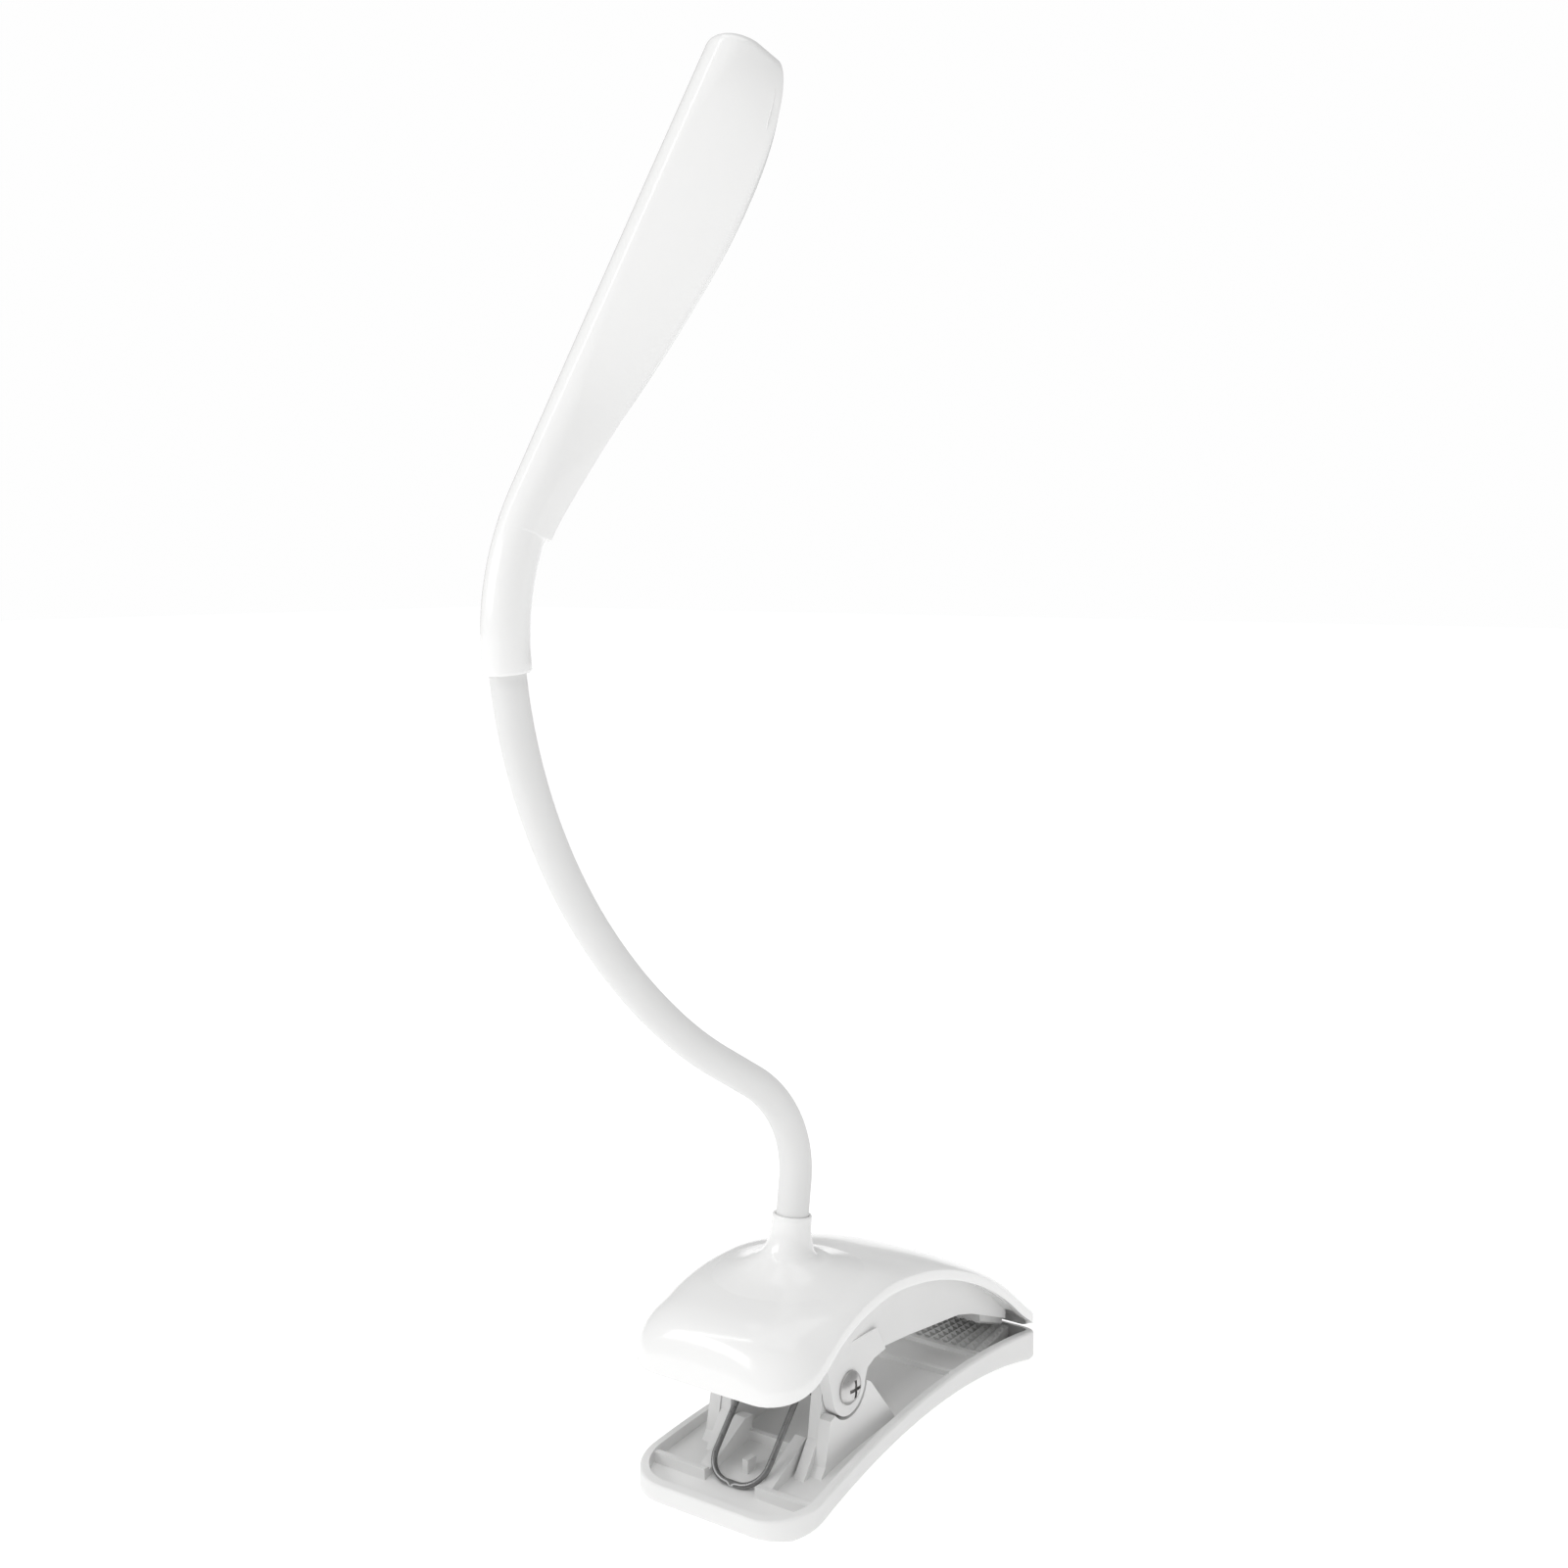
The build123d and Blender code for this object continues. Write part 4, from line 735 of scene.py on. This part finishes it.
class LAMP_OT_stage(bpy.types.Operator):
    """Pale floor, soft lights and the camera"""
    bl_idname, bl_label = "lamp.stage", "Stage"

    def execute(self, context):
        scene = context.scene
        bm = bmesh.new()
        bmesh.ops.create_grid(bm, x_segments=1, y_segments=1, size=6.0 / MM)
        bmesh.ops.translate(bm, vec=(0, 0, -0.02), verts=bm.verts)
        bmesh.ops.scale(bm, vec=(MM, MM, MM), verts=bm.verts)
        mesh = bpy.data.meshes.new("floor")
        bm.to_mesh(mesh)
        bm.free()
        floor = bpy.data.objects.new("floor", mesh)
        scene.collection.objects.link(floor)
        pale = Finish("floor_paper", (0.94, 0.94, 0.94), 0.9, Emission_Color=(1, 1, 1, 1),
                      Emission_Strength=0.4)
        pale.tint(pale.noise(12, 3), (0.935, 0.935, 0.935), (0.945, 0.945, 0.945))
        mesh.materials.append(pale.material)

        world = bpy.data.worlds.new("studio")
        scene.world = world
        world.use_nodes = True
        tree = world.node_tree
        glow = tree.nodes["Background"]
        glow.inputs["Color"].default_value = (1, 1, 1, 1)
        glow.inputs["Strength"].default_value = 0.47
        paper = tree.nodes.new("ShaderNodeBackground")
        path, either = tree.nodes.new("ShaderNodeLightPath"), tree.nodes.new("ShaderNodeMixShader")
        tree.links.new(path.outputs["Is Camera Ray"], either.inputs[0])
        tree.links.new(glow.outputs[0], either.inputs[1])
        tree.links.new(paper.outputs[0], either.inputs[2])
        tree.links.new(either.outputs[0], tree.nodes["World Output"].inputs["Surface"])
        paper.inputs["Color"].default_value = (0.99, 0.99, 0.99, 1)

        for name, place, size, power in (
            ("strip", (-0.75, 0.58, 0.46), (0.62, 0.3), 2.2),
            ("streak", (-0.5, 0.53, 0.95), (0.06, 0.8), 0.7),
            ("top", (0.15, 0.1, 1.2), (0.7, 0.7), 1.3),
            ("front", (-0.35, -1.0, 0.55), (0.25, 0.6), 0.7),
        ):
            lamp = bpy.data.lights.new(name, "AREA")
            lamp.shape, lamp.size, lamp.size_y, lamp.energy = "RECTANGLE", size[0], size[1], power
            light = bpy.data.objects.new(name, lamp)
            light.location = place
            aim = Vector((-0.02, 0, 0.15)) - Vector(place)
            light.rotation_euler = aim.to_track_quat("-Z", "Y").to_euler()
            light.visible_glossy = name != "front"
            scene.collection.objects.link(light)
        sun = bpy.data.lights.new("window", "SUN")
        sun.energy, sun.angle = 0.75, radians(28)
        window = bpy.data.objects.new("window", sun)
        window.rotation_euler = Vector((0.5, 0.25, -1.0)).to_track_quat("-Z", "Y").to_euler()
        window.visible_glossy = False
        scene.collection.objects.link(window)

        lens = bpy.data.cameras.new("camera")
        lens.sensor_width, lens.lens = 36.0, 44.506
        lens.clip_start, lens.clip_end = 0.01, 50.0
        camera = bpy.data.objects.new("camera", lens)
        camera.location = (-0.36826, -0.26840, 0.22276)
        camera.rotation_euler = (radians(90 - 6.67), 0, radians(-53.77))
        scene.collection.objects.link(camera)
        scene.camera = camera
        scene.view_settings.view_transform = "Standard"
        return {"FINISHED"}


OPERATORS = (LAMP_OT_cover, LAMP_OT_collar, LAMP_OT_jaws, LAMP_OT_pads, LAMP_OT_spring, LAMP_OT_gooseneck,
             LAMP_OT_head, LAMP_OT_inside, LAMP_OT_stage)


class LAMP_PT_panel(bpy.types.Panel):
    """Lists the lamp's sizes, colours and pieces"""
    bl_idname, bl_label = "LAMP_PT_panel", "Reading Lamp"
    bl_space_type, bl_region_type, bl_category = "VIEW_3D", "UI", "Reading Lamp"

    def draw(self, context):
        for group in (context.scene.lamp_sizes, context.scene.lamp_colours):
            for name in group.__annotations__:
                self.layout.prop(group, name)
        for operator in OPERATORS:
            self.layout.operator(operator.bl_idname)


CLASSES = (LampSizes, LampColours, *OPERATORS, LAMP_PT_panel)


def register():
    for each in CLASSES:
        bpy.utils.register_class(each)
    bpy.types.Scene.lamp_sizes = PointerProperty(type=LampSizes)
    bpy.types.Scene.lamp_colours = PointerProperty(type=LampColours)


def unregister():
    del bpy.types.Scene.lamp_sizes
    del bpy.types.Scene.lamp_colours
    for each in reversed(CLASSES):
        bpy.utils.unregister_class(each)


def main():
    register()
    for operator in OPERATORS:
        group, name = operator.bl_idname.split(".")
        getattr(getattr(bpy.ops, group), name)()


if __name__ == "__main__":
    main()
